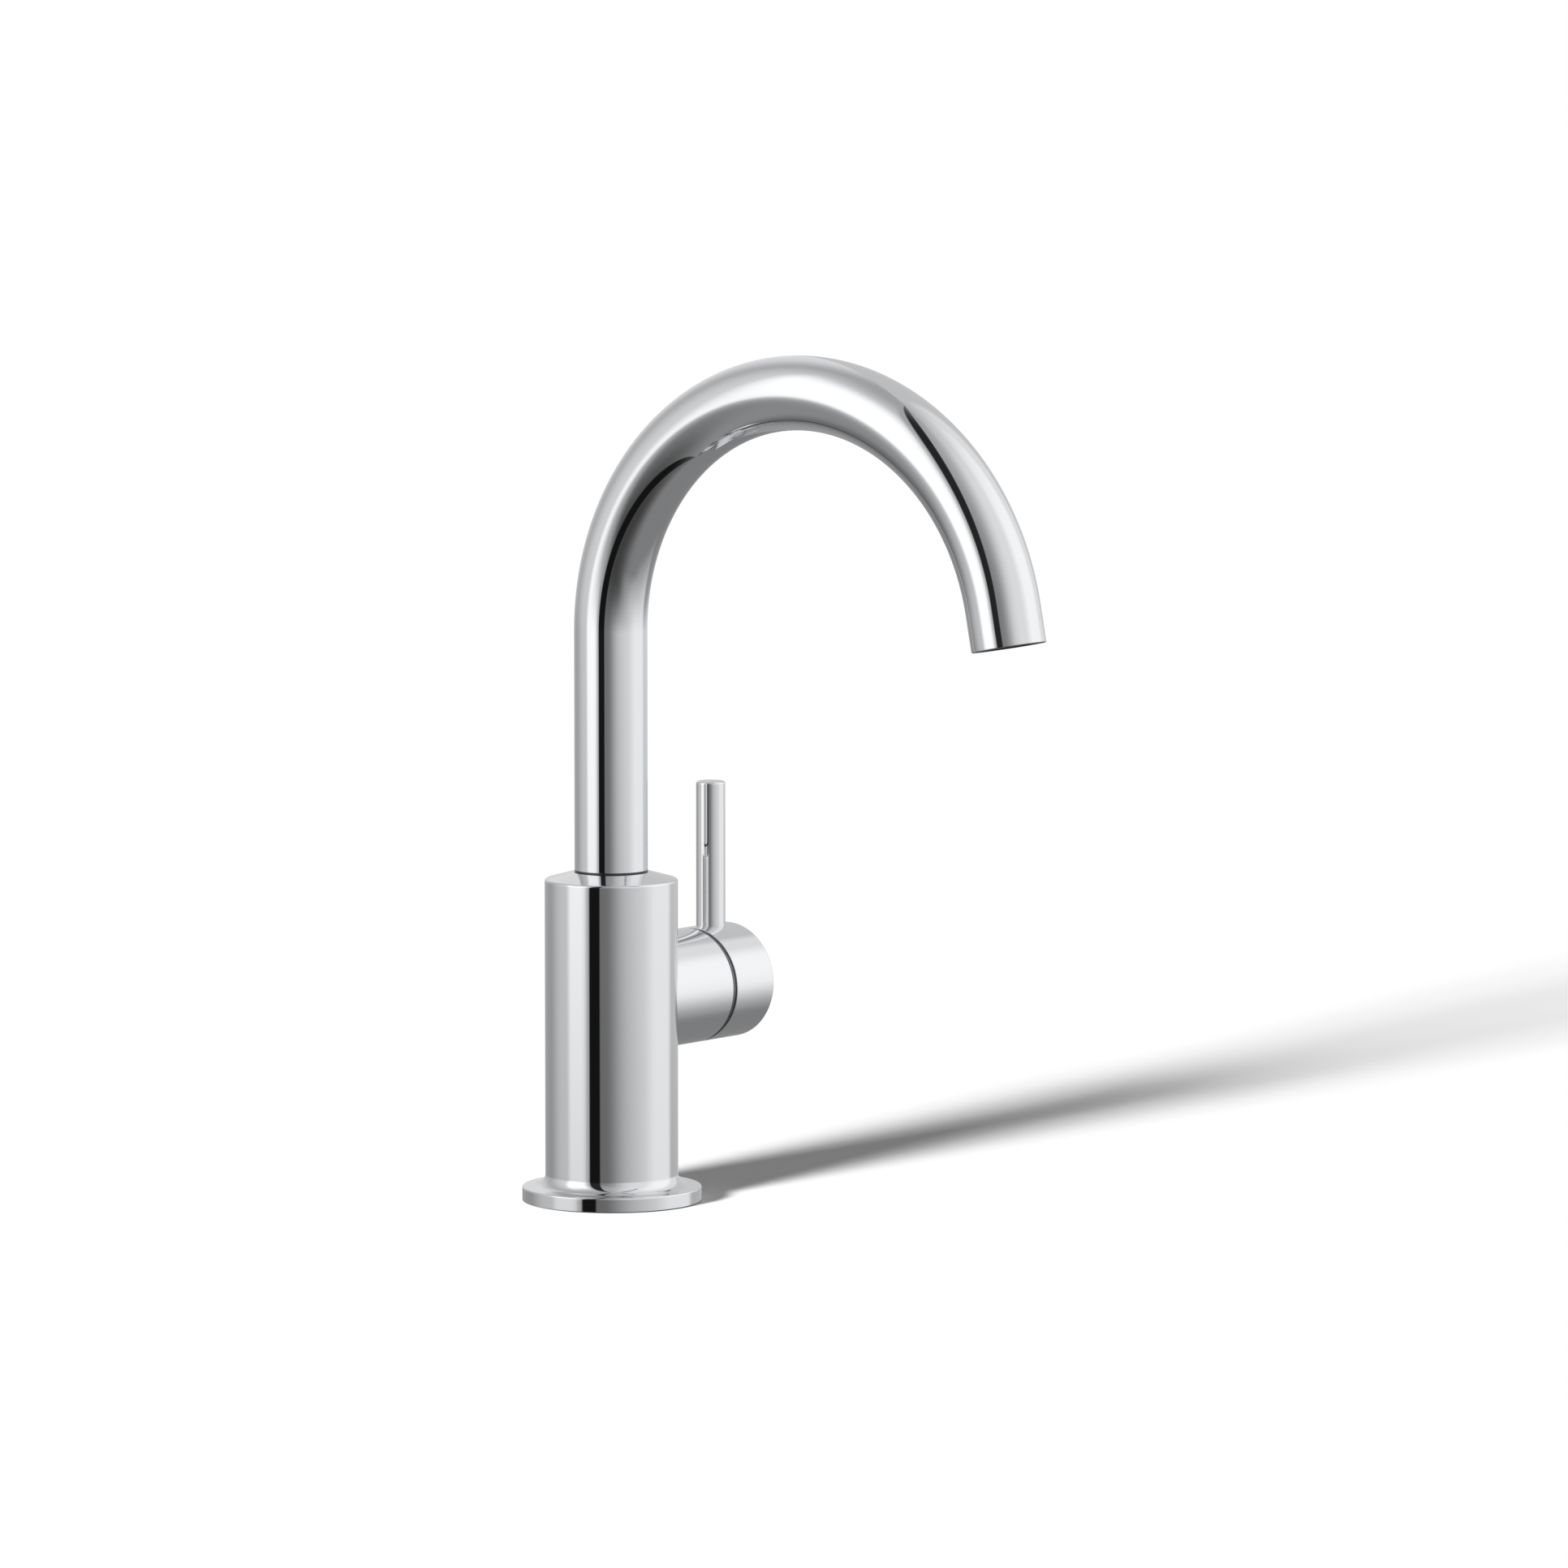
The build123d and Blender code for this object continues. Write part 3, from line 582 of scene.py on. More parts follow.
# %% [markdown]
# ## The spout
#
# The spout is a length of 22 mm tube, bent on a mandrel into a gooseneck, with its lips rounded so that they
# don't cut. An outline that runs up the outside, over the lip and back down the bore is carried along the
# tube's centre line. Its second number is then a length along that line, not a height. The line is straight,
# then an arc, then straight again, and all three are one formula: the turn made so far is the length past
# the upright over the bend's radius, held between zero and the whole bend. What is left over is straight.

# %% Chromed spout
TUBE_BORE = 9.5
TUBE_FOOT_LIP = 0.12
TUBE_LIP = 0.2
BEND_RADIUS = 74.0
BEND_ANGLE = math.radians(169)
OUTLET_LENGTH = 11.0
BEND_STEP = math.radians(1.5)
LEAST_SHARE = 0.001
upright = tube_high[2] - TUBE_RADIUS - BEND_RADIUS - tube_low[2]
spout_length = upright + BEND_RADIUS * BEND_ANGLE + OUTLET_LENGTH
bend_centre = np.array([0, -BEND_RADIUS, tube_low[2] + upright])


def with_rows(path, lengths):
    """The same outline with more points, where a straight stretch passes one of the given lengths."""
    points, ways = path
    rows, directions = [], []
    for first, second, way in zip(points, points[1:], ways):
        span = second[1] - first[1]
        share = np.sort((lengths - first[1]) / span) if span else np.zeros(0)
        inside = (share > LEAST_SHARE) & (share < 1 - LEAST_SHARE)
        share = np.concatenate([[0], share[inside]])[:, None]
        rows.append(first + share * (second - first))
        directions.append(way + 0 * rows[-1])
    return np.vstack(rows + [points[-1:]]), np.vstack(directions + [ways[-1:]])


def carried_along_spout(path, angles=RING):
    """Outline of (radius, length): centre + radius * (cos a * sideways + sin a * outwards) at each length."""
    points, ways = path
    length = points[:, 1]
    turn = np.clip((length - upright) / BEND_RADIUS, 0, BEND_ANGLE)
    straight = length - upright - turn * BEND_RADIUS
    outwards = np.column_stack([0 * turn, np.cos(turn), np.sin(turn)])
    onwards = np.column_stack([0 * turn, -np.sin(turn), np.cos(turn)])
    centre = bend_centre + BEND_RADIUS * outwards + straight[:, None] * onwards
    sideways = np.outer(np.cos(angles), (1, 0, 0))
    across = sideways + np.sin(angles)[:, None] * outwards[:, None]
    places = centre[:, None] + points[:, 0, None, None] * across
    normals = ways[:, 1, None, None] * across - ways[:, 0, None, None] * onwards[:, None]
    return places, normals


steps = np.linspace(0, BEND_ANGLE, round(BEND_ANGLE / BEND_STEP) + 1)
wall = outline(
    (TUBE_BORE, 0),
    (TUBE_RADIUS, 0, TUBE_FOOT_LIP),
    (TUBE_RADIUS, spout_length, TUBE_LIP),
    (TUBE_BORE, spout_length),
    (TUBE_BORE, 0),
)
spout_grid = carried_along_spout(with_rows(wall, upright + BEND_RADIUS * steps))
chromed_spout = solid("chromed_spout", chrome, [spout_grid])
stands_for(chromed_spout, "spout_tube", "spout")
print("tube length", round(spout_length, 1), "mm")

# %% [markdown]
# ## The handle
#
# The hub continues the boss at the same radius, past a narrow dark seam. The photo has the seam about a
# millimetre nearer to the body than the construction, and a little wider, so it is drawn there. The hub is
# hollow at the seam to clear the cartridge, and a square socket in its floor takes the stem. The lever
# screws into a flat seat on top, and a screw from below grips the stem, so the hub's wall has two holes,
# made as the body's are.

# %% Chromed hub and lever
# A recess is a radius and where it ends along the valve. A hole is a radius and where it ends above its axis.
HUB_EDGE_ROUND = 0.8
HUB_RECESS = (14.0, 44.7)
STEM_SQUARE = 7.1
STEM_FLOOR = 54.5
CLEARANCE = 0.05
LEVER_HOLE = LEVER_RADIUS + CLEARANCE
LEVER_SEAT_DEPTH = 0.5
LEVER_TIP_ROUND = 0.8
STUD_RADIUS = 2.5
STUD_HOLE = (STUD_RADIUS + CLEARANCE, 5.05)
SCREW_HOLE = (2.55, 3.6)
lever_seat = math.sqrt(HUB_RADIUS**2 - LEVER_RADIUS**2) - LEVER_SEAT_DEPTH

lever_hole = (math.pi / 2, LEVER_X, LEVER_HOLE)
screw_hole = (3 * math.pi / 2, LEVER_X, SCREW_HOLE[0])
around = wall_angles(HUB_RADIUS, [lever_hole, screw_hole])
square = polygon(STEM_SQUARE, 4, around)
seam_side = outline(
    HUB_RECESS,
    (HUB_RECESS[0], SEAM[1]),
    (HUB_RADIUS, SEAM[1], SEAM_EDGE),
    (HUB_RADIUS, SEAM[1] + 2 * SEAM_EDGE),
)
end = outline(
    (HUB_RADIUS, hub_high[0] - 2 * HUB_EDGE_ROUND),
    (HUB_RADIUS, hub_high[0], HUB_EDGE_ROUND),
    (0, hub_high[0]),
)
socket = [(0, STEM_FLOOR), (square, STEM_FLOOR), (square, HUB_RECESS[1]), HUB_RECESS]
hub_grids = [
    many_sided(socket, around),
    turned(seam_side, around),
    *pierced_wall(HUB_RADIUS, seam_side[0][-1, 1], end[0][0, 1], around, [lever_hole, screw_hole]),
    turned(end, around),
    through_wall(
        HUB_RADIUS, lever_hole,
        (LEVER_HOLE, lever_seat), (STUD_HOLE[0], lever_seat), STUD_HOLE, (0, STUD_HOLE[1]),
    ),
    through_wall(HUB_RADIUS, screw_hole, SCREW_HOLE, (0, SCREW_HOLE[1])),
]
valve_origin = (0, 0, VALVE_HEIGHT)
chromed_hub = solid("chromed_hub", chrome, [placed(grid, VALVE_AXES, valve_origin) for grid in hub_grids])
stands_for(chromed_hub, "handle_hub", "handle")

rod = outline(
    (0, lever_low[2]),
    (STUD_RADIUS, lever_low[2]),
    (STUD_RADIUS, VALVE_HEIGHT + lever_seat),
    (LEVER_RADIUS, VALVE_HEIGHT + lever_seat),
    (LEVER_RADIUS, lever_high[2], LEVER_TIP_ROUND),
    (0, lever_high[2]),
)
chromed_lever = solid("chromed_lever", chrome, [placed(turned(rod), WORLD_AXES, (LEVER_X, 0, 0))])
stands_for(chromed_lever, "lever", "handle")

# %% [markdown]
# ## Plastic rings, gasket and rubber washer
#
# Two thin rings of acetal plastic keep chrome from rubbing on chrome: one lies in the seam between the boss
# and the hub, and the spout's foot turns on the other. Acetal for such bearings is filled with a dry
# lubricant, graphite or molybdenum sulphide, whose flakes give it a dark metallic shine: the photo shows a
# bluish grey line in one seam and a nearly black one in the other. Below them, a rubber gasket in the foot
# and a rubber washer under the deck keep water out and take up an uneven deck.
#
# Moulding gives all of these one colour through and through. What tells them apart is the gloss and the
# grain that the mould leaves: acetal is waxy and nearly smooth, rubber is dull and finely pitted. Pieces this
# plain could stay flat discs, but the round edges catch the light, so each is turned from an outline.

# %% Moulded plastics and rubber
GRAINS_IN_CLOUD = 5
MOULDED_SPREAD = 0.08


def moulded(name, colour, roughness, grain, depth, **sockets):
    """A moulded plastic or rubber: one colour, with the fine grain that the mould leaves, in millimetres."""
    material, tree, shader = new_material(name, colour, 0.0, roughness)
    place = add(tree, "TexCoord").outputs["Object"]
    fine = add(tree, "TexNoise", {"Vector": place, "Scale": per_mm(grain), "Detail": 2})
    coarse = {"Vector": place, "Scale": per_mm(GRAINS_IN_CLOUD * grain), "Detail": 2}
    cloud = add(tree, "TexNoise", coarse)
    gloss = (roughness - MOULDED_SPREAD, roughness + MOULDED_SPREAD)
    surface(tree, shader, cloud.outputs[0], gloss, fine.outputs[0], depth)
    for socket, value in sockets.items():
        shader.inputs[socket.replace("_", " ")].default_value = value
    return material


acetal = moulded("moulded_black_acetal", "1A1B1D", 0.3, 0.5, 0.004)
graphite = moulded("graphite_filled_acetal", "6E7076", 0.25, 0.5, 0.004, Metallic=0.8)
sulphide = moulded("molybdenum_filled_acetal", "48494D", 0.14, 0.5, 0.001, Metallic=0.8)
rubber = moulded("moulded_epdm_rubber", "161617", 0.6, 0.4, 0.012)
print("moulded finishes:", acetal.name, graphite.name, sulphide.name, rubber.name)

# %% Rings, gasket and rubber washer
# Of each thin ring: its radius and the size of its round edges.
SEAM_RING = (17.1, 0.3)
BEARING_RING = (11.1, 0.2)
RUBBER_ROUND = 0.5
WASHER_BORE = 10.85
GASKET_BORE = 13.0
GASKET_LIP = (26.0, FLANGE_FOOT)
GASKET_STEP = GASKET_RECESS[0] - CLEARANCE


def flat_ring(bore, radius, low, high, size):
    """A ring with four round edges, as a closed outline that starts in the middle of its bore."""
    middle = (bore, (low + high) / 2)
    corners = [(bore, low, size), (radius, low, size), (radius, high, size), (bore, high, size)]
    return turned(outline(middle, *corners, middle))


grid = flat_ring(HUB_RECESS[0], SEAM_RING[0], SEAM[0], SEAM[1] - CLEARANCE, SEAM_RING[1])
seam_ring = solid("seam_ring", graphite, [placed(grid, VALVE_AXES, valve_origin)])
stands_for(seam_ring, "hub_glide_ring", "base")

ring_top = size_of("spout_bearing_ring")[1][2]
grid = flat_ring(SOCKET[0], BEARING_RING[0], CROWN[1], ring_top, BEARING_RING[1])
bearing_ring = solid("bearing_ring", sulphide, [grid])
stands_for(bearing_ring, "spout_bearing_ring", "base")

gasket_low, gasket_high = size_of("deck_gasket")
gasket = outline(
    (GASKET_BORE, gasket_low[2]),
    (GASKET_LIP[0], gasket_low[2]),
    GASKET_LIP,
    (GASKET_STEP, GASKET_LIP[1]),
    (GASKET_STEP, gasket_high[2]),
    (GASKET_BORE, gasket_high[2]),
    (GASKET_BORE, gasket_low[2]),
)
foot_gasket = solid("foot_gasket", rubber, [turned(gasket)])
stands_for(foot_gasket, "deck_gasket", "base")

washer_low, washer_high = size_of("rubber_washer")
grid = flat_ring(WASHER_BORE, washer_high[0], washer_low[2], washer_high[2], RUBBER_ROUND)
clamp_rubber = solid("clamp_rubber", rubber, [grid])
stands_for(clamp_rubber, "rubber_washer", "clamp")

# %% [markdown]
# ## Brass and steel
#
# The pieces that no one sees are turned from brass bar and left as the lathe leaves them. The tool's feed
# draws fine rings round the piece's own axis, and hands and air leave faint brown stains. A noise that
# depends on one number only makes such rings: the number is the height along the axis plus the distance from
# it, so that the same marks ring a shaft and a face alike. Three brasses differ only in that axis: most
# pieces stand upright, the valve lies along X, and the bushing in the spout's mouth follows the spout.
#
# The washer, the clip, the screws and the screens are stainless steel, tumbled with stones until their burrs
# are gone. Tumbling leaves a satin skin of shallow dents in all directions, which a cell pattern gives.

# %% Turned brass
BRASS_COLOUR = "E0C384"
STAINED_BRASS = "C8A564"
BRASS_ROUGHNESS = (0.16, 0.32)
FEED = 0.3
FEED_DEPTH = 0.006
STAIN_SIZE = 6
STAIN_RANGE = (0.45, 0.75)


def turned_brass(name, place_of_axis, turn_of_axis):
    """Brass from a lathe; a Mapping node lays its axis on z, so that the feed marks ring that axis."""
    material, tree, shader = new_material(name, BRASS_COLOUR, 1.0, BRASS_ROUGHNESS[0])
    place = add(tree, "TexCoord").outputs["Object"]
    own = add(tree, "Mapping", {"Vector": place, "Location": place_of_axis, "Rotation": turn_of_axis})
    parts = add(tree, "SeparateXYZ", {0: own.outputs[0]})
    level_part = add(tree, "CombineXYZ", {0: parts.outputs[0], 1: parts.outputs[1]})
    radius = add(tree, "VectorMath", {0: level_part.outputs[0]}, operation="LENGTH")
    track = add(tree, "Math", {0: parts.outputs[2], 1: radius.outputs["Value"]}, operation="ADD")
    feed = {"W": track.outputs[0], "Scale": per_mm(FEED), "Detail": 2}
    marks = add(tree, "TexNoise", feed, noise_dimensions="1D")
    stain = add(tree, "TexNoise", {"Vector": place, "Scale": per_mm(STAIN_SIZE), "Detail": 4})
    tone = add(tree, "MapRange", {"Value": stain.outputs[0], 1: STAIN_RANGE[0], 2: STAIN_RANGE[1]})
    shades = {0: tone.outputs[0], 6: linear(BRASS_COLOUR), 7: linear(STAINED_BRASS)}
    shade = add(tree, "Mix", shades, data_type="RGBA")
    tree.links.new(shade.outputs[2], shader.inputs["Base Color"])
    surface(tree, shader, stain.outputs[0], BRASS_ROUGHNESS, marks.outputs[0], FEED_DEPTH)
    return material


mouth_outwards = np.array([0, math.cos(BEND_ANGLE), math.sin(BEND_ANGLE)])
mouth_onwards = np.array([0, -math.sin(BEND_ANGLE), math.cos(BEND_ANGLE)])
mouth = bend_centre + BEND_RADIUS * mouth_outwards + OUTLET_LENGTH * mouth_onwards
brass = turned_brass("turned_brass", (0, 0, 0), (0, 0, 0))
valve_brass = turned_brass("turned_brass_of_valve", (VALVE_HEIGHT * MM, 0, 0), (0, math.radians(-90), 0))
mouth_brass = turned_brass("turned_brass_of_mouth", (0, -mouth @ mouth_outwards * MM, 0), (-BEND_ANGLE, 0, 0))
print("middle of the mouth at", np.round(mouth, 1))

# %% Tumbled steel
STEEL_COLOUR = "C9CACB"
STEEL_ROUGHNESS = (0.24, 0.4)
DENT_SIZE = 0.7
DENT_DEPTH = 0.01
SKIN_CLOUD = 4


def tumbled_steel():
    """Stamped stainless steel with the satin skin and soft dents of tumbling."""
    material, tree, shader = new_material("tumbled_stainless_steel", STEEL_COLOUR, 1.0, STEEL_ROUGHNESS[0])
    place = add(tree, "TexCoord").outputs["Object"]
    dents = add(tree, "TexVoronoi", {"Vector": place, "Scale": per_mm(DENT_SIZE)}, feature="SMOOTH_F1")
    cloud = add(tree, "TexNoise", {"Vector": place, "Scale": per_mm(SKIN_CLOUD), "Detail": 3})
    surface(tree, shader, cloud.outputs[0], STEEL_ROUGHNESS, dents.outputs["Distance"], DENT_DEPTH)
    return material


steel = tumbled_steel()
print("steel gives back", round(linear(STEEL_COLOUR)[0], 3), "of the light")

# %% [markdown]
# ## Threads
#
# A long threaded shank holds the faucet to the deck, an adapter screws into its foot, and the nut runs on it.
# The construction draws these threads as plain round bars. A thread could be cut by carrying a V along a
# helix, but its ends would stay open. It is simpler as a radius that changes with the height and the angle: a
# zigzag of the height over the pitch, less the share of the turn made, climbs one pitch in one turn. A cone
# at each end cuts it down to the size of its chamfer, and there it meets the next grid in a plain circle.
#
# The nut's thread is the same zigzag, a little larger. It turns by one turn for each pitch that it climbs, so
# it stays in the shank's grooves as it moves.

# %% Threads and hexagons
THREAD_ANGLES = np.radians(np.arange(0, 360, 5))
ROWS_PER_PITCH = 12
CREST_ROUNDING = 0.97
TURNED_CIRCLE = 0.485
TURNED_SLOPE = math.tan(math.radians(30))


def rows_between(start, end, pitch):
    """Heights from one end of a thread to the other, as a column."""
    return np.linspace(start, end, round(abs(end - start) / pitch * ROWS_PER_PITCH) + 1)[:, None]


def thread_radius(crest, pitch, depth, heights):
    """The crest's radius less the depth times a zigzag: arccos(0.97 cos(turn of the pitch - angle)) / pi."""
    turn = 2 * math.pi * heights / pitch - THREAD_ANGLES
    return crest - depth * np.arccos(CREST_ROUNDING * np.cos(turn)) / math.pi


def ridged(reach, heights):
    """Grid of a radius that changes with height and angle. Heights that run down make a bore.

    The normal is outwards less the radius's change with the angle, over the radius, and with the height.
    """
    up = np.array([0, 0, 1.0])
    across = np.column_stack([np.cos(THREAD_ANGLES), np.sin(THREAD_ANGLES), 0 * THREAD_ANGLES])
    around = np.column_stack([-np.sin(THREAD_ANGLES), np.cos(THREAD_ANGLES), 0 * THREAD_ANGLES])
    climb = np.gradient(reach, heights[:, 0], axis=0)
    step = THREAD_ANGLES[2] - THREAD_ANGLES[0]
    swell = (np.roll(reach, -1, axis=1) - np.roll(reach, 1, axis=1)) / step / reach
    normals = across - swell[..., None] * around - climb[..., None] * up
    normals *= np.sign(heights[-1] - heights[0]) / np.linalg.norm(normals, axis=-1, keepdims=True)
    return reach[..., None] * across + heights[..., None] * up, normals


def outer_thread(crest, pitch, depth, low, high, chamfer):
    """A threaded bar from low to high, whose ends are cones of 45 degrees."""
    heights = rows_between(low, high, pitch)
    cone = crest - chamfer + np.minimum(heights - low, high - heights)
    return ridged(np.minimum(thread_radius(crest, pitch, depth, heights), cone), heights)


def spanner_faces(flats, low, high):
    """Rows of a hexagon with turned corners: the edge drops by tan 30 times the radius past a circle."""
    radius = polygon(flats, 6, THREAD_ANGLES + math.pi / 6)
    circle = TURNED_CIRCLE * flats
    drop = (radius - circle) * TURNED_SLOPE
    return [(circle, low), (radius, low + drop), (radius, high - drop), (circle, high)]


print("a thread has", ROWS_PER_PITCH, "rows a pitch")

# %% Threaded shank
SHANK_PITCH = 1.814
SHANK_DEPTH = 0.95
SHANK_CHAMFER = 1.0
SHANK_BORE = 6.5
SHANK_THREAD_TOP = 14.2
GROOVE_RADIUS = 8.65
GROOVE = (14.7, 17.3)
ADAPTER_SOCKET = (8.05, -44.0)

shank_low, shank_high = size_of("shank")
shank_crest = shank_high[0]
shank_end = shank_crest - SHANK_CHAMFER
shank_thread = outer_thread(
    shank_crest, SHANK_PITCH, SHANK_DEPTH, shank_low[2], SHANK_THREAD_TOP, SHANK_CHAMFER
)
shank_rest = outline(
    (shank_end, SHANK_THREAD_TOP),
    (shank_crest, SHANK_THREAD_TOP),
    (shank_crest, GROOVE[0]),
    (GROOVE_RADIUS, GROOVE[0]),
    (GROOVE_RADIUS, GROOVE[1]),
    (shank_crest, GROOVE[1]),
    (shank_crest, shank_high[2] - SHANK_CHAMFER),
    (shank_end, shank_high[2]),
    (SHANK_BORE, shank_high[2]),
    (SHANK_BORE, ADAPTER_SOCKET[1]),
    ADAPTER_SOCKET,
    (ADAPTER_SOCKET[0], shank_low[2]),
    (shank_end, shank_low[2]),
)
threaded_shank = solid("threaded_shank", brass, [shank_thread, turned(shank_rest, THREAD_ANGLES)])
stands_for(threaded_shank, "shank", "base")

# %% Threaded adapter
# Of each thread: the radius of its crest, its pitch, its depth and its chamfer.
SPIGOT = (8.0, 1.0, 0.5, 0.6)
NIPPLE = (7.14, 1.058, 0.6, 0.6)
ADAPTER_FLATS = 20.0
ADAPTER_HEX = (-63.0, -56.8)
ADAPTER_BORE = 4.2
STRAINER_SEAT = (6.05, -47.5)

adapter_low, adapter_high = size_of("inlet_adapter")
nipple_end = NIPPLE[0] - NIPPLE[3]
spigot_end = SPIGOT[0] - SPIGOT[3]
faces = spanner_faces(ADAPTER_FLATS, *ADAPTER_HEX)
adapter_bore = outline(
    (spigot_end, adapter_high[2]),
    (STRAINER_SEAT[0], adapter_high[2]),
    STRAINER_SEAT,
    (ADAPTER_BORE, STRAINER_SEAT[1]),
    (ADAPTER_BORE, adapter_low[2]),
    (nipple_end, adapter_low[2]),
)
threaded_adapter = solid("threaded_adapter", brass, [
    outer_thread(*NIPPLE[:3], adapter_low[2], ADAPTER_HEX[0], NIPPLE[3]),
    many_sided([(nipple_end, ADAPTER_HEX[0]), *faces, (spigot_end, ADAPTER_HEX[1])], THREAD_ANGLES),
    outer_thread(*SPIGOT[:3], ADAPTER_HEX[1], adapter_high[2], SPIGOT[3]),
    turned(adapter_bore, THREAD_ANGLES),
])
stands_for(threaded_adapter, "inlet_adapter", "base")

# %% Tapped nut and steel washer
NUT_FLATS = 30.0
NUT_CLEARANCE = 0.05
NUT_MINOR = 9.75
NUT_COUNTERSINK = 0.35
STEEL_ROUND = 0.25

nut_low, nut_high = size_of("mounting_nut")
nut_heights = rows_between(nut_high[2], nut_low[2], SHANK_PITCH)
tapped = thread_radius(shank_crest, SHANK_PITCH, SHANK_DEPTH, nut_heights) + NUT_CLEARANCE
entry = shank_crest + NUT_COUNTERSINK
opening = entry - np.minimum(nut_heights - nut_low[2], nut_high[2] - nut_heights)
tapped = np.maximum(np.maximum(tapped, NUT_MINOR), opening)
nut_faces = spanner_faces(NUT_FLATS, nut_low[2], nut_high[2])
tapped_nut = solid("tapped_nut", brass, [
    many_sided([(entry, nut_low[2]), *nut_faces, (entry, nut_high[2])], THREAD_ANGLES),
    ridged(tapped, nut_heights),
])
stands_for(tapped_nut, "mounting_nut", "nut")

washer_low, washer_high = size_of("steel_washer")
grid = flat_ring(WASHER_BORE, washer_high[0], washer_low[2], washer_high[2], STEEL_ROUND)
clamp_steel = solid("clamp_steel", steel, [grid])
stands_for(clamp_steel, "steel_washer", "clamp")

# %% [markdown]
# ## Woven screens in the mouth
#
# Two steel screens in the aerator break the water into a soft stream. The construction has them as thin
# discs, but looking up into the mouth one sees their weave. A screen is plain weave: each wire goes over one
# and under the next. Half a wave of a cosine for each crossing gives that, and the wires across it have the
# opposite sign. A picture of the weave on a disc would be flat, so the wires are real tubes of six sides,
# each a path with a circle carried along it. The real wires are spaced by 0.4 mm. They are drawn 1 mm apart,
# so that the weave shows in a picture and the mesh stays light.

# %% Woven screens
SCREEN_DEPTHS = (2.15, 3.55)
SCREEN_RADIUS = 7.0
SCREEN_RIM = 6.5
SCREEN_THICKNESS = 0.3
SCREEN_ROUND = 0.1
WIRE_PITCH = 1.0
WIRE_RADIUS = 0.1
WIRE_STEPS = 4
WIRE_SIDES = 6
WIRE_GRIP = 0.2
MOUTH_AXES = np.array([(1, 0, 0), mouth_outwards, mouth_onwards])


def wire(number, sign):
    """Tube along a chord with pointed ends: height = sign * radius * cos(pi (place / pitch + number))."""
    offset = number * WIRE_PITCH
    reach = math.sqrt((SCREEN_RIM + WIRE_GRIP) ** 2 - offset**2)
    place = np.linspace(-reach, reach, round(2 * reach / WIRE_PITCH * WIRE_STEPS) + 1)
    phase = math.pi * (place / WIRE_PITCH + number)
    slope = -sign * WIRE_RADIUS * math.pi / WIRE_PITCH * np.sin(phase)
    centre = np.column_stack([place, offset + 0 * place, sign * WIRE_RADIUS * np.cos(phase)])
    rise = np.column_stack([-slope, 0 * slope, 1 + 0 * slope]) / np.sqrt(1 + slope**2)[:, None]
    angles = np.arange(WIRE_SIDES)[:, None] * 2 * math.pi / WIRE_SIDES
    across = np.cos(angles) * np.array([0, 1.0, 0]) + np.sin(angles) * rise[:, None]
    thickness = np.full(len(place), WIRE_RADIUS)
    thickness[[0, -1]] = 0
    return centre[:, None] + thickness[:, None, None] * across, across


CROSSWISE = np.array([(0, 1.0, 0), (-1, 0, 0), (0, 0, 1)])
last_wire = int(SCREEN_RIM / WIRE_PITCH)
numbers = range(-last_wire, last_wire + 1)
screen = [wire(number, 1) for number in numbers]
screen += [placed(wire(-number, -1), CROSSWISE, (0, 0, 0)) for number in numbers]
half = SCREEN_THICKNESS / 2
screen.append(flat_ring(SCREEN_RIM, SCREEN_RADIUS, -half, half, SCREEN_ROUND))
both = [placed(grid, MOUTH_AXES, mouth - depth * mouth_onwards) for depth in SCREEN_DEPTHS for grid in screen]
woven_screens = solid("woven_screens", steel, both)
stands_for(woven_screens, "aerator_screens", "spout")

# %% [markdown]
# ## The aerator's housing
#
# A black plastic cup holds the screens. Its collar lies on the bushing and closes the mouth nearly flush with
# the tube, and that is the dark line under the spout in the photo. Four slots in its face take a flat key. A
# slot is no separate cut here: the face is a ring whose height is lower at the angles of a slot, and each
# angle where it steps down is there twice, once for the face and once for the floor of the slot.

# %% Aerator housing
# Radii are from the spout's centre line, and heights from the end of the tube, outwards.
COLLAR_RADII = (9.4, 8.8)
COLLAR_SEAT = -0.58
LIP_RADIUS = 10.75
LIP = (0.01, 0.13)
CUP_FACE = -0.35
CUP_OPENING = (6.05, -2.0)
CUP_RADII = (7.05, 8.25)
CUP_END = -9.5
KEY_SLOTS = 4
SLOT_RADIUS = 7.6
SLOT_WIDTH = 1.6
SLOT_DEPTH = 0.8
STEP = 1e-6

half_slot = SLOT_WIDTH / 2 / CUP_OPENING[0]
slot_middles = np.arange(KEY_SLOTS) * 2 * math.pi / KEY_SLOTS
slot_edges = np.concatenate([slot_middles - half_slot, slot_middles + half_slot])
cup_angles = np.sort(np.concatenate([RING + half_slot / 3, slot_edges - STEP, slot_edges + STEP]))
from_middle = np.abs((cup_angles + math.pi / KEY_SLOTS) % (2 * math.pi / KEY_SLOTS) - math.pi / KEY_SLOTS)
slotted = CUP_FACE - SLOT_DEPTH * (from_middle < half_slot)
cup = many_sided([
    (COLLAR_RADII[0], COLLAR_SEAT),
    (COLLAR_RADII[0], LIP[0]),
    (LIP_RADIUS, LIP[0]),
    (LIP_RADIUS, LIP[1]),
    (COLLAR_RADII[1], LIP[1]),
    (COLLAR_RADII[1], CUP_FACE),
    (SLOT_RADIUS, CUP_FACE),
    (SLOT_RADIUS, slotted),
    (CUP_OPENING[0], slotted),
    CUP_OPENING,
    (CUP_RADII[0], CUP_OPENING[1]),
    (CUP_RADII[0], CUP_END),
    (CUP_RADII[1], CUP_END),
    (CUP_RADII[1], COLLAR_SEAT),
    (COLLAR_RADII[0], COLLAR_SEAT),
], cup_angles)
aerator_cup = solid("aerator_cup", acetal, [placed(cup, MOUTH_AXES, mouth)])
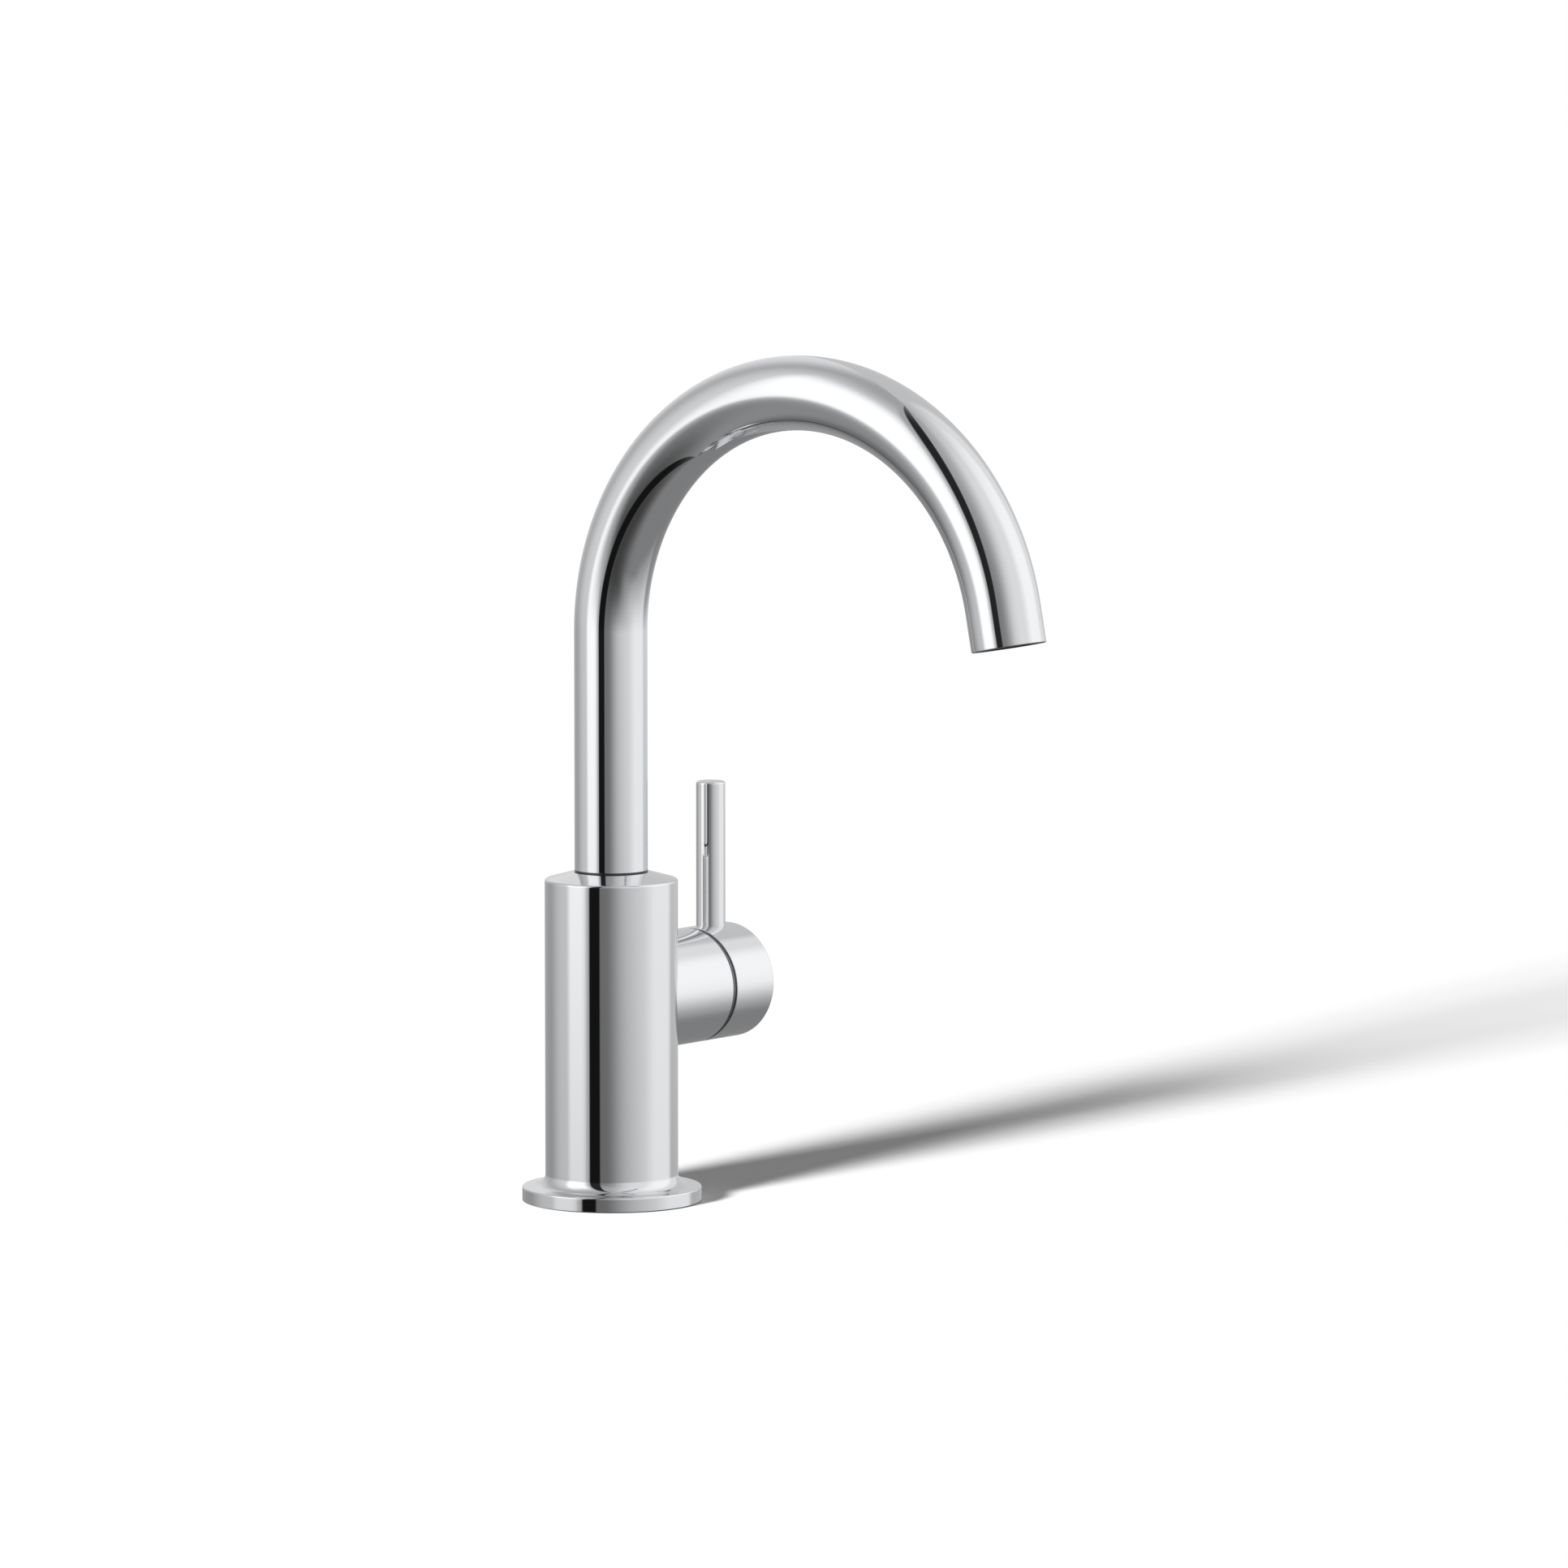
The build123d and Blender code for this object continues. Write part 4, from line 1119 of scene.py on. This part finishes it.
stands_for(aerator_cup, "aerator_housing", "spout")

# %% [markdown]
# ## Finishes of the inner pieces
#
# What is left is inside: the cartridge, its seals, the journal and the aerator's plastic. The construction
# already has their true shapes, so they keep them and get a finish. The strainer, the thrust washer, the
# spacer and the regulator are natural nylon, creamy and a little see-through, which subsurface scattering
# gives. The two discs that open and close the water are alumina, lapped until they seal by themselves, so
# they are as smooth as glass. The washer under the adapter is pressed red fibre, dull and coarse.

# %% Nylon, ceramic and fibre
nylon = moulded("moulded_natural_nylon", "E4DFD0", 0.42, 0.6, 0.005, Subsurface_Weight=0.15)
ceramic = moulded("lapped_alumina_ceramic", "EBE6DA", 0.18, 0.25, 0.001)
fibre = moulded("pressed_red_fibre", "8A3A2C", 0.7, 0.5, 0.02)

FINISHES = {
    brass: ["spout_adapter"],
    valve_brass: ["valve_bonnet", "valve_stem"],
    mouth_brass: ["outlet_bushing"],
    steel: ["stem_clip", "hub_set_screw", "keeper_screw"],
    rubber: ["shank_o_ring", "bonnet_o_ring", "seat_seal", "stem_o_rings", "spout_o_rings", "aerator_washer"],
    fibre: ["inlet_washer"],
    ceramic: ["fixed_disc", "turning_disc"],
    nylon: ["inlet_strainer", "thrust_washer", "screen_spacer", "flow_regulator"],
}
for material, nodes in FINISHES.items():
    for node in nodes:
        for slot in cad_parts[node].material_slots:
            slot.material = material
print(sum(map(len, FINISHES.values())), "pieces of the construction have their finish")

# %% [markdown]
# ## Floor
#
# The faucet stands on white paper so large that no edge shows. Its shadow is the only thing the floor adds to
# the white background, so the lamps have to bring the paper to full white wherever it is lit. Seen from below
# the paper is clear, and a round hole under the foot lets the threaded shank through, so that the pieces
# under the deck can be looked at as well. The paper is left out of the reflections, because the panels
# already hold a floor of the right grey.

# %% Floor
PAPER_COLOUR = "F8F8F8"
FLOOR_HOLE = 17.5
FLOOR_EDGE = 10000.0
FLOOR_HEIGHT = -0.05
FLOOR_RINGS = 12

floor_material = bpy.data.materials.new("white_paper_floor")
floor_material.use_nodes = True
tree = floor_material.node_tree
tree.nodes.clear()
paper = add(tree, "BsdfDiffuse", {"Color": linear(PAPER_COLOUR)})
clear = add(tree, "BsdfTransparent")
behind = add(tree, "NewGeometry").outputs["Backfacing"]
faced = add(tree, "MixShader", {0: behind, 1: paper.outputs[0], 2: clear.outputs[0]})
add(tree, "OutputMaterial", {"Surface": faced.outputs[0]})

rings = np.geomspace(FLOOR_EDGE, FLOOR_HOLE, FLOOR_RINGS)
points = np.column_stack([rings, np.full(FLOOR_RINGS, FLOOR_HEIGHT)])
inwards = np.tile((-1.0, 0.0), (FLOOR_RINGS, 1))
floor = solid("studio_floor", floor_material, [turned((points, inwards))])
floor.visible_glossy = False

# %% [markdown]
# ## Lamps
#
# The shadow runs off to the right and its edges blur slowly, so the light comes from a wide lamp low at the
# left. Three far lamps side by side make one: together they are twice as wide as high, and each has the
# shape of a disc some degrees across. Their height above the floor sets the shadow's length. Each place
# holds two lamps. One lights everything at a plain level. The other lights the floor alone, to lift the paper
# to white without more light on the faucet. The three places and the softness were found by a fitting program
# too, which matched the edges of the photo's shadow.

# %% Lamps
# Of each place: the way its light travels along the floor, and the lamp's height, in degrees.
LAMP_PLACES = [(-1.1, 14.9), (2.2, 15.7), (5.4, 16.5)]
LAMP_SOFTNESS = math.radians(6.8)
PLAIN_LEVEL = 2.5
FLOOR_LEVEL = 2.75

only_floor = bpy.data.collections.new("lit_by_floor_lamps")
only_floor.objects.link(floor)


def sun(name, travels, height, strength):
    """A far lamp whose light travels along the floor at one angle and comes down at another."""
    data = bpy.data.lights.new(name, "SUN")
    data.energy = strength
    data.angle = LAMP_SOFTNESS
    lamp = bpy.data.objects.new(name, data)
    bpy.context.scene.collection.objects.link(lamp)
    lamp.rotation_euler = (0, math.radians(90) - height, travels + math.pi)
    lamp.visible_glossy = False
    return lamp


for number, place in enumerate(LAMP_PLACES):
    travels, height = np.radians(place)
    plain = PLAIN_LEVEL / len(LAMP_PLACES)
    level = FLOOR_LEVEL / len(LAMP_PLACES) / math.sin(height)
    sun(f"key_lamp_{number}", travels, height, plain)
    floor_lamp = sun(f"floor_lamp_{number}", travels, height, level - plain)
    floor_lamp.light_linking.receiver_collection = only_floor
print(len(LAMP_PLACES), "places for lamps, light that reaches the floor", FLOOR_LEVEL)

# %% [markdown]
# ## Finish
#
# The picture is shown as it is computed, with no film look.

# %% Finish
bpy.context.scene.view_settings.view_transform = "Standard"
